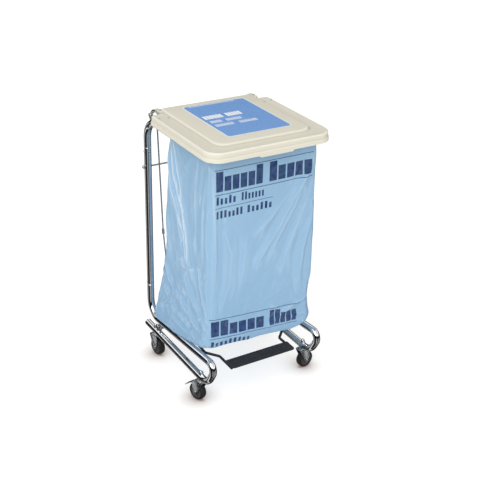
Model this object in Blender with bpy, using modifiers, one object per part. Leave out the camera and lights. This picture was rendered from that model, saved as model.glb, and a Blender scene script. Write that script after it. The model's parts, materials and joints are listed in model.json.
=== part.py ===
"""Linen trolley: a chrome tube stand with a hinged foot-operated lid, a hung film bag and four casters.

Metres, +Z up, the floor at z = 0, the front of the trolley towards -Y.
Run with: blender --background --python part.py
"""

import math

import bmesh
import bpy
from mathutils import Matrix, Vector

# ---------------------------------------------------------------- driving dimensions (metres)

GAP = 0.0003                 # air between touching pieces
BOX_CENTRE_X = 0.00839       # middle of the whole object's box, seen from above,
BOX_CENTRE_Y = -0.01462      # measured from the middle of the four caster stems

# frame tubes
TUBE_R = 0.0127
TUBE_WALL = 0.0015
TUBE_SIDES = 14
TRACK = 0.419                # between the two side frames, centre to centre
SIDE_X = TRACK / 2
INNER_X = SIDE_X - TUBE_R    # inner faces of the side frames
STEM_Y = 0.1735              # half of the wheelbase
LOWER_Z = 0.095              # centre of the lower tubes
LOWER_REAR_Y = 0.236
FRONT_LOW_Y = -0.2215        # the lower tubes turn up here
FRONT_LOW_R = 0.068
FRONT_HIGH_Y = -0.2785       # and fold back here to form the upper rails
FRONT_HIGH_R = 0.025
RAIL_MIDDLE_Z = 0.1676       # centre height of the upper rails at y = 0
RAIL_SLOPE = -0.0913         # they fall towards the rear
POST_Y = 0.208
REAR_BEND_R = 0.060
LOW_JOINT_Z = 0.273          # posts plug on here
HIGH_JOINT_Z = 0.802         # and the top arms here
ARM_Z = 0.905
ARM_BEND_R = 0.068
HOOP_FRONT_Y = -0.2227
HOOP_CORNER_R = 0.050
HOOP_REAR_Y = 0.100
HOOP_REAR_R = 0.005
TIE_Z = 0.732
TIE_R = 0.003
CROSS_R = 0.0111
CROSS_Y = 0.150
CROSS_END_X = 0.216
STRUT_Y = 0.128
STRUT_R = 0.003

# lid
LID_TOP_Z = 0.942
LID_FLANGE_Z = 0.9355
LID_SKIRT_Z = 0.904
LID_LIP_Z = 0.899
LID_WALL = 0.003
LID_HALF_X = 0.2275
LID_FRONT_Y = -0.2575
LID_NOTCH_X = 0.188          # the flange stops here at the rear corners
LID_NOTCH_Y = 0.150
LID_REAR_Y = 0.186
LID_CORNER = 0.052
PLATEAU_HALF_X = 0.173
PLATEAU_FRONT_Y = -0.208
LABEL_SIZE = (0.238, 0.310, 0.0007)
LABEL_CENTRE = (0.0099, -0.0035)
HOOD_X = (0.1755, 0.1882)    # the curled hoods over the hinge arms
HOOD_TIP = (0.2245, 0.9190)  # y and z of their rear ends

# lid hinge and its crank
HINGE_Y = 0.218
HINGE_Z = 0.910
HINGE_PIN_R = 0.003
HINGE_ARM_X = 0.1915
HINGE_ARM_R = 0.003
CRANK_R = 0.028
CRANK_ANGLE = math.radians(217.5)    # where the crank pin stands, seen along +X, lid shut
LINK_TOP_X = -0.1796

# pedal
PEDAL_Y = -0.015             # the pivot
PEDAL_Z = 0.150
PEDAL_ROD_R = 0.00475
PEDAL_ARM_X = 0.160
PEDAL_NECK_X = 0.123
PEDAL_REAR_Y = 0.194
PEDAL_REAR_Z = 0.133
TREAD_HALF_X = 0.127
TREAD_Y = (-0.247, -0.193)
TREAD_Z = (0.1420, 0.1465)

# linkage rod
LINK_R = 0.00275
LINK_FOOT_X = -0.1310
LINK_KNEE = (-0.1625, 0.480)         # x and z of the adjuster

# casters
WHEEL_R = 0.032
WHEEL_W = 0.024
TRAIL = 0.014
AXLE_R = 0.004
FORK_TOP_Z = 0.0795
FORK_PLATE = 0.0025
FORK_W = 0.0315
CASTERS = {                  # stem position and rest heading of the trailing wheel
    "front_left": (-SIDE_X, -STEM_Y, math.radians(107)),
    "front_right": (SIDE_X, -STEM_Y, math.radians(8)),
    "rear_left": (-SIDE_X, STEM_Y, math.radians(-82)),
    "rear_right": (SIDE_X, STEM_Y, math.radians(-70)),
}
BRAKED = ("front_left",)
BRAKE_X = 0.0365             # the brake lever's axis, behind the stem
BRAKE_Z = 0.0605

# bag
BAG_WALL = 0.0025
BAG_TOP_Z = 0.905

PARTS = None
CUTTERS = None
ROOT = None


# ---------------------------------------------------------------- scene helpers

def start_scene():
    """Empties the file and makes the two collections and the root empty."""
    global PARTS, CUTTERS, ROOT
    for obj in list(bpy.data.objects):
        bpy.data.objects.remove(obj, do_unlink=True)
    PARTS = bpy.data.collections.new("linen_trolley")
    CUTTERS = bpy.data.collections.new("cutters")
    for collection in (PARTS, CUTTERS):
        bpy.context.scene.collection.children.link(collection)
    ROOT = empty("trolley_origin", Vector((-BOX_CENTRE_X, -BOX_CENTRE_Y, 0.0)))


def empty(name, location, parent=None, turn=0.0):
    """An empty on a joint axis; location is in the stem frame, turn is about Z."""
    obj = bpy.data.objects.new(name, None)
    obj.location = location
    obj.rotation_euler.z = turn
    obj.parent = parent
    PARTS.objects.link(obj)
    return obj


def material(name, colour, roughness, metallic=0.0, alpha=1.0):
    """A Principled BSDF material, made once per name."""
    found = bpy.data.materials.get(name)
    if found:
        return found
    made = bpy.data.materials.new(name)
    made.use_nodes = True
    shader = made.node_tree.nodes["Principled BSDF"]
    shader.inputs["Base Color"].default_value = (*colour, 1.0)
    shader.inputs["Roughness"].default_value = roughness
    shader.inputs["Metallic"].default_value = metallic
    shader.inputs["Alpha"].default_value = alpha
    return made


def chrome():
    return material("chrome", (0.78, 0.79, 0.80), 0.12, 1.0)


def zinc():
    return material("zinc", (0.62, 0.63, 0.64), 0.32, 1.0)


def cream():
    return material("cream_plastic", (0.78, 0.74, 0.61), 0.45)


def blue_label():
    return material("blue_label", (0.14, 0.32, 0.68), 0.35)


def blue_film():
    return material("blue_film", (0.36, 0.58, 0.80), 0.30)


def black_paint():
    return material("black_paint", (0.015, 0.016, 0.018), 0.45)


def black_rubber():
    return material("black_rubber", (0.02, 0.02, 0.02), 0.70)


def grey_hub():
    return material("grey_hub", (0.06, 0.06, 0.065), 0.50)


def finish(obj, parent, finish_material, smooth_angle=40.0):
    """Shades, colours and parents one part whose mesh is in the stem frame or its parent's frame."""
    obj.data.materials.clear()
    obj.data.materials.append(finish_material)
    if obj.type == "MESH":
        obj.data.shade_smooth()
        obj.data.set_sharp_from_angle(angle=math.radians(smooth_angle))
    obj.parent = parent
    return obj


def new_object(name, data, collection=None):
    obj = bpy.data.objects.new(name, data)
    (collection or PARTS).objects.link(obj)
    return obj


def mesh_from_bmesh(name, bm, collection=None):
    mesh = bpy.data.meshes.new(name)
    bmesh.ops.recalc_face_normals(bm, faces=bm.faces)
    bm.to_mesh(mesh)
    bm.free()
    return new_object(name, mesh, collection)


def to_mesh(obj):
    """Turns a curve, or an object with modifiers, into a plain welded mesh object of the same name."""
    name = obj.name
    bpy.context.view_layer.update()
    evaluated = obj.evaluated_get(bpy.context.evaluated_depsgraph_get())
    mesh = bpy.data.meshes.new_from_object(evaluated)
    bm = bmesh.new()
    bm.from_mesh(mesh)
    bmesh.ops.remove_doubles(bm, verts=bm.verts, dist=1e-6)
    bmesh.ops.recalc_face_normals(bm, faces=bm.faces)
    bm.to_mesh(mesh)
    bm.free()
    matrix = obj.matrix_world.copy()
    collection = obj.users_collection[0]
    bpy.data.objects.remove(obj, do_unlink=True)
    made = new_object(name, mesh, collection)
    made.matrix_world = matrix
    return made


def boolean(obj, tool, operation):
    """Cuts or joins obj with tool and applies the result; the tool is removed."""
    step = obj.modifiers.new(operation.lower(), "BOOLEAN")
    step.object = tool
    step.operation = operation
    step.solver = "EXACT"
    made = to_mesh(obj)
    bpy.data.objects.remove(tool, do_unlink=True)
    return made


# ---------------------------------------------------------------- shape helpers

def arc_through(corner, before, after, radius, steps):
    """Points of the round that replaces a path's corner."""
    to_before = (before - corner).normalized()
    to_after = (after - corner).normalized()
    half = to_before.angle(to_after) / 2
    setback = radius / math.tan(half)
    centre = corner + (to_before + to_after).normalized() * (radius / math.sin(half))
    start = corner + to_before * setback - centre
    sweep = math.pi - 2 * half
    axis = to_after.cross(to_before).normalized()
    return [centre + Matrix.Rotation(-sweep * i / steps, 3, -axis) @ start for i in range(steps + 1)]


def rounded_path(corners, radii, steps=8):
    """A path through corners, each inner corner rounded to its radius."""
    points = [Vector(corner) for corner in corners]
    path = [points[0]]
    for before, corner, after, radius in zip(points, points[1:], points[2:], radii):
        path += arc_through(corner, before, after, radius, steps)
    path.append(points[-1])
    return path


def rod(name, path, radius, sides=12, wall=None, collection=None):
    """A round bar along a path, or a tube with open ends when it has a wall."""
    curve = bpy.data.curves.new(name, "CURVE")
    curve.dimensions = "3D"
    curve.bevel_depth = radius
    curve.bevel_resolution = (sides - 4) // 2
    curve.use_fill_caps = wall is None
    spline = curve.splines.new("POLY")
    spline.points.add(len(path) - 1)
    for point, place in zip(spline.points, path):
        point.co = (*place, 1.0)
    made = to_mesh(new_object(name, curve, collection))
    if wall is None:
        return made
    shell = made.modifiers.new("wall", "SOLIDIFY")
    shell.thickness = wall
    shell.offset = -1.0
    return to_mesh(made)


def cylinder(name, centre, radius, length, axis="X", sides=16, collection=None):
    """A closed cylinder centred on a point, along X, Y or Z."""
    bm = bmesh.new()
    bmesh.ops.create_cone(bm, cap_ends=True, segments=sides, radius1=radius, radius2=radius, depth=length)
    turn = {"X": Matrix.Rotation(math.pi / 2, 4, "Y"), "Y": Matrix.Rotation(math.pi / 2, 4, "X"),
            "Z": Matrix.Identity(4)}[axis]
    bmesh.ops.transform(bm, matrix=Matrix.Translation(centre) @ turn, verts=bm.verts)
    return mesh_from_bmesh(name, bm, collection)


def block(name, low, high, collection=None):
    """A closed box between two corners."""
    bm = bmesh.new()
    size = Vector(high) - Vector(low)
    middle = (Vector(high) + Vector(low)) / 2
    bmesh.ops.create_cube(bm, size=1.0, matrix=Matrix.Translation(middle) @ Matrix.Diagonal((*size, 1.0)))
    return mesh_from_bmesh(name, bm, collection)


def turned(name, profile, steps=16, closed=False, collection=None):
    """A turned solid about Z; profile is (radius, z) pairs that run from top to bottom on the outer side."""
    bm = bmesh.new()
    points = [bm.verts.new((radius, 0.0, height)) for radius, height in profile]
    for first, second in zip(points, points[1:] + (points[:1] if closed else [])):
        bm.edges.new((first, second))
    mesh = bpy.data.meshes.new(name)
    bm.to_mesh(mesh)
    bm.free()
    obj = new_object(name, mesh, collection)
    screw = obj.modifiers.new("turn", "SCREW")
    screw.steps = steps
    screw.render_steps = steps
    screw.use_merge_vertices = True
    screw.merge_threshold = 0.00001
    return to_mesh(obj)


def plate(name, outline, x_low, x_high, holes=(), collection=None):
    """A flat plate in the YZ plane between two x values; outline and holes are (y, z) loops."""
    curve = bpy.data.curves.new(name, "CURVE")
    curve.dimensions = "2D"
    curve.fill_mode = "BOTH"
    curve.extrude = (x_high - x_low) / 2
    for loop in (outline, *holes):
        spline = curve.splines.new("POLY")
        spline.points.add(len(loop) - 1)
        for point, (across, up) in zip(spline.points, loop):
            point.co = (across, up, 0.0, 1.0)
        spline.use_cyclic_u = True
    obj = new_object(name, curve, collection)
    obj.rotation_euler = (math.pi / 2, 0.0, math.pi / 2)
    obj.location.x = (x_low + x_high) / 2
    made = to_mesh(obj)
    made.data.transform(made.matrix_world)
    made.matrix_world = Matrix.Identity(4)
    return made


def circle(centre, radius, steps=16, start=0.0, sweep=2 * math.pi):
    """Points of a circle, or of an arc that includes both ends."""
    count = steps if sweep >= 2 * math.pi - 1e-6 else steps + 1
    return [(centre[0] + radius * math.cos(start + sweep * i / steps),
             centre[1] + radius * math.sin(start + sweep * i / steps)) for i in range(count)]


def strap(first, first_radius, second, second_radius, steps=8):
    """The outline of a strap that runs round two circles."""
    apart = Vector(second) - Vector(first)
    heading = math.atan2(apart.y, apart.x)
    lean = math.acos((first_radius - second_radius) / apart.length)
    return (circle(first, first_radius, steps, heading + lean, 2 * math.pi - 2 * lean)
            + circle(second, second_radius, steps, heading - lean, 2 * lean))


def corner_ring(corners, height):
    """A closed ring of points at one height; a corner is x, y, how far its round starts, and steps."""
    ring = []
    for i, (x, y, setback, steps) in enumerate(corners):
        here = Vector((x, y))
        into = (Vector(corners[i - 1][:2]) - here).normalized()
        out = (Vector(corners[(i + 1) % len(corners)][:2]) - here).normalized()
        weight = math.sin(into.angle(out) / 2)
        start, end = here + into * setback, here + out * setback
        for k in range(steps + 1):
            t = k / steps
            a, b, c = (1 - t) ** 2, 2 * t * (1 - t) * weight, t * t
            point = (start * a + here * b + end * c) / (a + b + c)
            ring.append(Vector((point.x, point.y, height)))
    return ring


def loft(name, rings, collection=None):
    """A skin through rings of equal length, closed over the last ring and open at the first."""
    bm = bmesh.new()
    loops = [[bm.verts.new(point) for point in ring] for ring in rings]
    for upper, lower in zip(loops, loops[1:]):
        for i in range(len(upper)):
            j = (i + 1) % len(upper)
            bm.faces.new((upper[i], upper[j], lower[j], lower[i]))
    bm.faces.new(loops[-1])
    return mesh_from_bmesh(name, bm, collection)


def thicken(obj, thickness):
    """Gives an open skin its wall, inwards, and applies it."""
    shell = obj.modifiers.new("wall", "SOLIDIFY")
    shell.thickness = thickness
    shell.offset = -1.0
    shell.use_even_offset = True
    return to_mesh(obj)


def mirrored(obj, name):
    """A copy of a part on the other side of the middle plane."""
    mesh = obj.data.copy()
    bm = bmesh.new()
    bm.from_mesh(mesh)
    bmesh.ops.scale(bm, vec=(-1.0, 1.0, 1.0), verts=bm.verts)
    bmesh.ops.reverse_faces(bm, faces=bm.faces)
    bm.to_mesh(mesh)
    bm.free()
    copy = new_object(name, mesh)
    copy.parent = obj.parent
    return copy


def rail_z(y):
    """Centre height of the upper rails."""
    return RAIL_MIDDLE_Z + RAIL_SLOPE * y


# ---------------------------------------------------------------- frame

def side_tube():
    """One bent tube: lower tube, front return bend, upper rail, rear bend and the foot of the post."""
    x = -SIDE_X
    corners = [(x, LOWER_REAR_Y, LOWER_Z), (x, FRONT_LOW_Y, LOWER_Z),
               (x, FRONT_HIGH_Y, rail_z(FRONT_HIGH_Y)), (x, POST_Y, rail_z(POST_Y)),
               (x, POST_Y, LOW_JOINT_Z)]
    path = rounded_path(corners, (FRONT_LOW_R, FRONT_HIGH_R, REAR_BEND_R), 7)
    tube = rod("side_tube_left", path, TUBE_R, TUBE_SIDES, TUBE_WALL)
    for y in (-STEM_Y, STEM_Y):
        drill = cylinder("stem_hole", (x, y, LOWER_Z), 0.0058, 0.06, "Z", 12, CUTTERS)
        tube = boolean(tube, drill, "DIFFERENCE")
    finish(tube, ROOT, chrome())
    mirrored(tube, "side_tube_right")


def posts():
    """Straight uprights between the lower and the upper joints."""
    path = [Vector((-SIDE_X, POST_Y, LOW_JOINT_Z + GAP)), Vector((-SIDE_X, POST_Y, HIGH_JOINT_Z))]
    left = finish(rod("post_left", path, TUBE_R, TUBE_SIDES, TUBE_WALL), ROOT, chrome())
    mirrored(left, "post_right")


def top_arms():
    """Each upper tube bends forward over the post, runs to the front and turns in to form half the hoop."""
    x = -SIDE_X
    corners = [(x, POST_Y, HIGH_JOINT_Z + GAP), (x, POST_Y, ARM_Z), (x, HOOP_FRONT_Y, ARM_Z),
               (-GAP, HOOP_FRONT_Y, ARM_Z)]
    path = rounded_path(corners, (ARM_BEND_R, HOOP_CORNER_R), 7)
    left = finish(rod("top_arm_left", path, TUBE_R, TUBE_SIDES, TUBE_WALL), ROOT, chrome())
    mirrored(left, "top_arm_right")


def cross_members():
    """The pieces that tie the two side frames together."""
    reach = INNER_X - GAP
    bar = rod("hoop_rear_bar", [Vector((-reach, HOOP_REAR_Y, ARM_Z)), Vector((reach, HOOP_REAR_Y, ARM_Z))],
              HOOP_REAR_R, 10)
    finish(bar, ROOT, chrome())
    tie = rod("tie_rod", [Vector((-reach, POST_Y, TIE_Z)), Vector((reach, POST_Y, TIE_Z))], TIE_R, 8)
    finish(tie, ROOT, zinc())
    cross_z = LOWER_Z + TUBE_R + GAP + CROSS_R
    cross = rod("rear_cross_tube", [Vector((-CROSS_END_X, CROSS_Y, cross_z)),
                                    Vector((CROSS_END_X, CROSS_Y, cross_z))], CROSS_R, 12, TUBE_WALL)
    finish(cross, ROOT, chrome())
    strut_top = rail_z(STRUT_Y) - TUBE_R - 2 * GAP
    strut = rod("rear_strut_left", [Vector((-SIDE_X, STRUT_Y, LOWER_Z + TUBE_R + GAP)),
                                    Vector((-SIDE_X, STRUT_Y, strut_top))], STRUT_R, 8)
    finish(strut, ROOT, chrome())
    mirrored(strut, "rear_strut_right")


def fasteners():
    """Dome nuts on the tie rod's ends and plugs in the lower tubes' rear ends."""
    nut = turned("tie_nut_left", [(0.0, 0.0090), (0.0030, 0.0080), (0.0048, 0.0055), (0.0062, 0.0050),
                                  (0.0062, 0.0), (0.0, 0.0)], 12)
    nut.data.transform(Matrix.Translation((-SIDE_X - TUBE_R - GAP, POST_Y, TIE_Z))
                       @ Matrix.Rotation(-math.pi / 2, 4, "Y"))
    finish(nut, ROOT, zinc())
    mirrored(nut, "tie_nut_right")
    bore = TUBE_R - TUBE_WALL - GAP
    plug = turned("tube_plug_left", [(0.0, 0.0045), (0.0070, 0.0038), (0.0115, 0.0016), (TUBE_R, GAP),
                                     (bore - 0.0006, GAP), (bore - 0.0006, -0.012), (0.0, -0.012)], 14)
    plug.data.transform(Matrix.Translation((-SIDE_X, LOWER_REAR_Y, LOWER_Z))
                        @ Matrix.Rotation(-math.pi / 2, 4, "X"))
    finish(plug, ROOT, zinc())
    mirrored(plug, "tube_plug_right")


def hinge_brackets():
    """Ears on the inner side of the top bends, each with the pin that a hinge arm turns on."""
    pivot = (HINGE_Y, HINGE_Z)
    foot = (HINGE_Y - 0.0255, HINGE_Z - 0.0240)
    ear = plate("hinge_bracket_left", strap(foot, 0.009, pivot, 0.007), -INNER_X + GAP, -INNER_X + 0.0021)
    ear_face = -INNER_X + 0.0021
    length = 0.0135
    pin = cylinder("pin", (ear_face - 0.001 + length / 2, HINGE_Y, HINGE_Z), HINGE_PIN_R, length, "X", 12,
                   CUTTERS)
    ear = finish(boolean(ear, pin, "UNION"), ROOT, zinc())
    mirrored(ear, "hinge_bracket_right")


def pivot_lugs():
    """Plates on the inner side of the upper rails, each with the pin that the pedal turns on."""
    face = -INNER_X + 0.0060
    lug = plate("pivot_lug_left", strap((PEDAL_Y, 0.170), 0.010, (PEDAL_Y, PEDAL_Z), 0.011),
                -INNER_X + GAP, face)
    length = 0.0260
    pin = cylinder("pin", (face - 0.001 + length / 2, PEDAL_Y, PEDAL_Z), 0.004, length, "X", 12, CUTTERS)
    lug = finish(boolean(lug, pin, "UNION"), ROOT, zinc())
    mirrored(lug, "pivot_lug_right")


# ---------------------------------------------------------------- bag

def bag():
    """The film bag as an open-topped skin: straight at the hoop, fuller below, resting on the rails."""
    top = TUBE_R + GAP

    def ring(half_x, front, rear, rounding, height):
        corners = [(half_x, rear), (-half_x, rear), (-half_x, front), (half_x, front)]
        points = corner_ring([(x, y, rounding, 4) for x, y in corners], 0.0)
        for point in points:
            point.z = height(point.y)
        return points

    def level(value):
        return lambda y: value

    def above_rail(rise):
        return lambda y: rail_z(y) + top + rise

    rings = [
        ring(0.1950, -0.2080, 0.0930, 0.042, level(BAG_TOP_Z)),
        ring(0.1955, -0.2085, 0.0960, 0.040, level(0.860)),
        ring(0.1990, -0.2095, 0.1020, 0.030, level(0.700)),
        ring(0.2020, -0.2100, 0.1100, 0.030, level(0.500)),
        ring(0.2040, -0.2100, 0.1300, 0.034, level(0.390)),
        ring(0.2100, -0.2110, 0.1580, 0.040, level(0.290)),
        ring(0.2190, -0.2110, 0.1780, 0.045, above_rail(0.026)),
        ring(0.2150, -0.2070, 0.1730, 0.045, above_rail(0.006)),
        ring(0.1900, -0.2000, 0.1600, 0.045, above_rail(0.004)),
        ring(0.1700, -0.1850, 0.1450, 0.040, lambda y: 0.192 - 0.036 * (y - HOOP_FRONT_Y)),
    ]
    skin = thicken(loft("bag", rings), BAG_WALL)
    finish(skin, ROOT, blue_film(), 60.0)


# ---------------------------------------------------------------- lid

def lid_ring(inset, height, plateau=False):
    """The lid's outline at one height, drawn in from the skirt's outer edge by the inset."""
    if plateau:
        half, front, rear = PLATEAU_HALF_X - inset, PLATEAU_FRONT_Y + inset, LID_REAR_Y - 0.006 - inset
        notch_x, notch_y, corner = half, LID_NOTCH_Y - 0.012, 0.040
        side = [(half, notch_y - 0.012, 0.004, 2), (notch_x, notch_y, 0.004, 2), (half, rear, 0.012, 4)]
    else:
        half, front, rear = LID_HALF_X - inset, LID_FRONT_Y + inset, LID_REAR_Y - inset
        notch_x, notch_y, corner = LID_NOTCH_X - inset, LID_NOTCH_Y - inset, LID_CORNER - inset / 2
        side = [(half, notch_y, 0.010, 2), (notch_x, notch_y, 0.004, 2), (notch_x, rear, 0.016, 4)]
    left = [(-x, y, setback, steps) for x, y, setback, steps in reversed(side)]
    front_corners = [(-half, front, corner, 7), (half, front, corner, 7)]
    return corner_ring(side + left + front_corners, height)


def lid(parent):
    """The moulded lid: raised middle, flange, and a two-step skirt with a lower lip at the front."""
    rings = [
        lid_ring(0.0, LID_SKIRT_Z),
        lid_ring(0.0, LID_SKIRT_Z + 0.0125),
        lid_ring(0.0013, LID_SKIRT_Z + 0.0140),
        lid_ring(0.0015, LID_FLANGE_Z - 0.0050),
        lid_ring(0.0030, LID_FLANGE_Z - 0.0012),
        lid_ring(0.0065, LID_FLANGE_Z),
        lid_ring(-0.0015, LID_FLANGE_Z + 0.0004, True),
        lid_ring(0.0020, LID_TOP_Z - 0.0010, True),
        lid_ring(0.0050, LID_TOP_Z, True),
    ]
    shell = thicken(loft("lid_shell", rings), LID_WALL)
    lip = block("lip", (-0.055, LID_FRONT_Y + 0.0002, LID_LIP_Z),
                (0.072, LID_FRONT_Y + LID_WALL - 0.0002, LID_SKIRT_Z + 0.004), CUTTERS)
    shell = boolean(shell, lip, "UNION")
    for low, high in ((INNER_X - 0.0013, SIDE_X + 0.0137), (-SIDE_X - 0.0137, -INNER_X + 0.0013)):
        relief = block("arm_relief", (low, LID_NOTCH_Y - 0.012, LID_LIP_Z - 0.005),
                       (high, LID_NOTCH_Y + 0.005, ARM_Z + TUBE_R + 0.003), CUTTERS)
        shell = boolean(shell, relief, "DIFFERENCE")
    to_parent(finish(shell, parent, cream(), 35.0), parent)


def label(parent):
    """The printed card on the lid, a thin rounded rectangle."""
    half_x, half_y = LABEL_SIZE[0] / 2, LABEL_SIZE[1] / 2
    cx, cy = LABEL_CENTRE
    corners = [(cx + half_x, cy + half_y, 0.012, 4), (cx - half_x, cy + half_y, 0.012, 4),
               (cx - half_x, cy - half_y, 0.012, 4), (cx + half_x, cy - half_y, 0.012, 4)]
    low = LID_TOP_Z + GAP
    bm = bmesh.new()
    face = bm.faces.new([bm.verts.new(point) for point in corner_ring(corners, low)])
    raised = bmesh.ops.extrude_face_region(bm, geom=[face])["geom"]
    top = [item for item in raised if isinstance(item, bmesh.types.BMVert)]
    bmesh.ops.translate(bm, vec=(0.0, 0.0, LABEL_SIZE[2]), verts=top)
    to_parent(finish(mesh_from_bmesh("lid_label", bm), parent, blue_label()), parent)


def hinge_hoods(parent):
    """Cream hoods that carry on from the lid's rear corners and curl down over the hinge arms."""
    seat = LID_FLANGE_Z + 3 * GAP
    front, tip_y, tip_z = LID_NOTCH_Y + 0.0005, *HOOD_TIP
    outline = [(front, seat), (LID_REAR_Y + 0.0002, seat), (LID_REAR_Y + 0.0005, 0.9378), (0.1950, 0.9358),
               (0.2105, 0.9290), (tip_y - 0.0023, tip_z - 0.0015), (tip_y, tip_z), (0.2120, 0.9315),
               (0.1960, 0.9385), (0.1800, LID_TOP_Z), (front + 0.0025, LID_TOP_Z), (front, LID_TOP_Z - 0.0015)]
    hood = plate("hinge_hood_left", outline, -HOOD_X[1], -HOOD_X[0])
    hood = to_parent(finish(hood, parent, cream(), 40.0), parent)
    mirrored(hood, "hinge_hood_right").location = hood.location


def crank_point():
    return (HINGE_Y + CRANK_R * math.cos(CRANK_ANGLE), HINGE_Z + CRANK_R * math.sin(CRANK_ANGLE))


def hinge_arms(parent):
    """Goosenecks that run from the notches in the lid's rear corners over to the hinge pins."""
    x = -HINGE_ARM_X
    corners = [(x, 0.1525, 0.9262), (x, 0.1740, 0.9352), (x, 0.2020, 0.9310), (x, HINGE_Y, HINGE_Z + 0.003)]
    path = rounded_path(corners, (0.020, 0.016), 5)
    arm = rod("hinge_arm_left", path, HINGE_ARM_R, 10)
    knuckle = cylinder("knuckle", (x, HINGE_Y, HINGE_Z), 0.0065, 0.0056, "X", 14, CUTTERS)
    arm = boolean(arm, knuckle, "UNION")
    bore = cylinder("bore", (x, HINGE_Y, HINGE_Z), HINGE_PIN_R + GAP, 0.02, "X", 12, CUTTERS)
    arm = to_parent(finish(boolean(arm, bore, "DIFFERENCE"), parent, chrome()), parent)
    mirrored(arm, "hinge_arm_right").location = arm.location


def crank(parent):
    """The lever that the linkage rod pushes, with its headed pin."""
    pin_y, pin_z = crank_point()
    x_low = -HINGE_ARM_X + 0.0028 + GAP
    x_high = x_low + 0.0035
    lever = plate("lid_crank", strap((HINGE_Y, HINGE_Z), 0.0065, (pin_y, pin_z), 0.0050), x_low, x_high,
                  [circle((HINGE_Y, HINGE_Z), HINGE_PIN_R + GAP, 12)])
    head_x = LINK_TOP_X + 0.0050
    pin = turned("pin", [(0.0, head_x + 0.002), (0.0050, head_x + 0.002), (0.0050, head_x), (0.003, head_x),
                         (0.003, x_high - 0.001), (0.0, x_high - 0.001)], 12, collection=CUTTERS)
    turn = Matrix(((0, 0, 1, 0), (0, 1, 0, pin_y), (-1, 0, 0, pin_z), (0, 0, 0, 1)))
    pin.data.transform(turn)
    to_parent(finish(boolean(lever, pin, "UNION"), parent, zinc()), parent)


def to_parent(obj, parent):
    """Keeps a part that is drawn in the stem frame in place under its joint's empty."""
    obj.location = -parent.location
    return obj


# ---------------------------------------------------------------- pedal and linkage

def pedal(parent):
    """A black rod frame that pivots on the rails, with the foot plate in front and a bar at the rear."""
    arm_x, neck_x = -PEDAL_ARM_X, -PEDAL_NECK_X
    corners = [(arm_x, PEDAL_REAR_Y + 0.005, PEDAL_REAR_Z), (arm_x, PEDAL_Y, PEDAL_Z),
               (arm_x, -0.114, 0.143), (neck_x, -0.150, 0.137), (neck_x, TREAD_Y[0] + 0.012, 0.137)]
    path = rounded_path(corners, (0.060, 0.012, 0.012), 3)
    arm = to_parent(finish(rod("pedal_arm_left", path, PEDAL_ROD_R, 10), parent, black_paint()), parent)
    mirrored(arm, "pedal_arm_right").location = arm.location

    boss_low, boss_high = -INNER_X + 0.0070, arm_x - PEDAL_ROD_R - GAP
    boss = plate("pedal_boss_left", circle((PEDAL_Y, PEDAL_Z), 0.009, 16), boss_low, boss_high,
                 [circle((PEDAL_Y, PEDAL_Z), 0.004 + GAP, 12)])
    boss = to_parent(finish(boss, parent, black_paint()), parent)
    mirrored(boss, "pedal_boss_right").location = boss.location

    reach = PEDAL_ARM_X - PEDAL_ROD_R - GAP
    bar = rod("pedal_rear_bar", [Vector((-reach, PEDAL_REAR_Y, PEDAL_REAR_Z)),
                                 Vector((reach, PEDAL_REAR_Y, PEDAL_REAR_Z))], PEDAL_ROD_R, 12)
    to_parent(finish(bar, parent, black_paint()), parent)

    corners = [(TREAD_HALF_X, TREAD_Y[1], 0.004, 2), (-TREAD_HALF_X, TREAD_Y[1], 0.004, 2),
               (-TREAD_HALF_X, TREAD_Y[0], 0.010, 3), (TREAD_HALF_X, TREAD_Y[0], 0.010, 3)]
    bm = bmesh.new()
    face = bm.faces.new([bm.verts.new(point) for point in corner_ring(corners, TREAD_Z[0])])
    raised = bmesh.ops.extrude_face_region(bm, geom=[face])["geom"]
    top = [item for item in raised if isinstance(item, bmesh.types.BMVert)]
    bmesh.ops.translate(bm, vec=(0.0, 0.0, TREAD_Z[1] - TREAD_Z[0]), verts=top)
    to_parent(finish(mesh_from_bmesh("pedal_tread", bm), parent, black_paint()), parent)


def linkage(parent):
    """The rod from the pedal's rear bar up to the crank: lower rod, adjuster, and upper rod with its slot."""
    y = PEDAL_REAR_Y
    knee = Vector((LINK_KNEE[0], y, LINK_KNEE[1]))
    foot = Vector((LINK_FOOT_X, y, PEDAL_REAR_Z))
    down = (foot - knee).normalized()
    eye_r = PEDAL_ROD_R + GAP

    lower = rod("link_lower", [foot - down * 0.006, knee + down * 0.010], LINK_R, 8)
    eye = cylinder("eye", foot, 0.009, 0.009, "X", 16, CUTTERS)
    lower = boolean(lower, eye, "UNION")
    bore = cylinder("bore", foot, eye_r, 0.03, "X", 16, CUTTERS)
    to_parent(finish(boolean(lower, bore, "DIFFERENCE"), parent, zinc()), parent)

    top = Vector((LINK_TOP_X, y, crank_point()[1] - 0.006))
    up = (top - knee).normalized()
    adjuster = rod("link_adjuster", [knee + down * (0.010 - GAP), knee, knee + up * (0.010 - GAP)], 0.0052, 8)
    to_parent(finish(adjuster, parent, zinc()), parent)

    upper = rod("link_upper", [knee + up * 0.010, top], LINK_R, 8)
    slot_y, slot_z = 0.1926, crank_point()[1]
    slot = (circle((slot_y + 0.0028, slot_z), 0.0041, 6, -math.pi / 2, math.pi)
            + circle((slot_y - 0.0028, slot_z), 0.0041, 6, math.pi / 2, math.pi))
    rim = (circle((slot_y + 0.0028, slot_z), 0.0078, 6, -math.pi / 2, math.pi)
           + circle((slot_y - 0.0028, slot_z), 0.0078, 6, math.pi / 2, math.pi))
    head = plate("head", rim, LINK_TOP_X - 0.0025, LINK_TOP_X + 0.0025, [slot], CUTTERS)
    to_parent(finish(boolean(upper, head, "UNION"), parent, zinc()), parent)


# ---------------------------------------------------------------- casters

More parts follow.
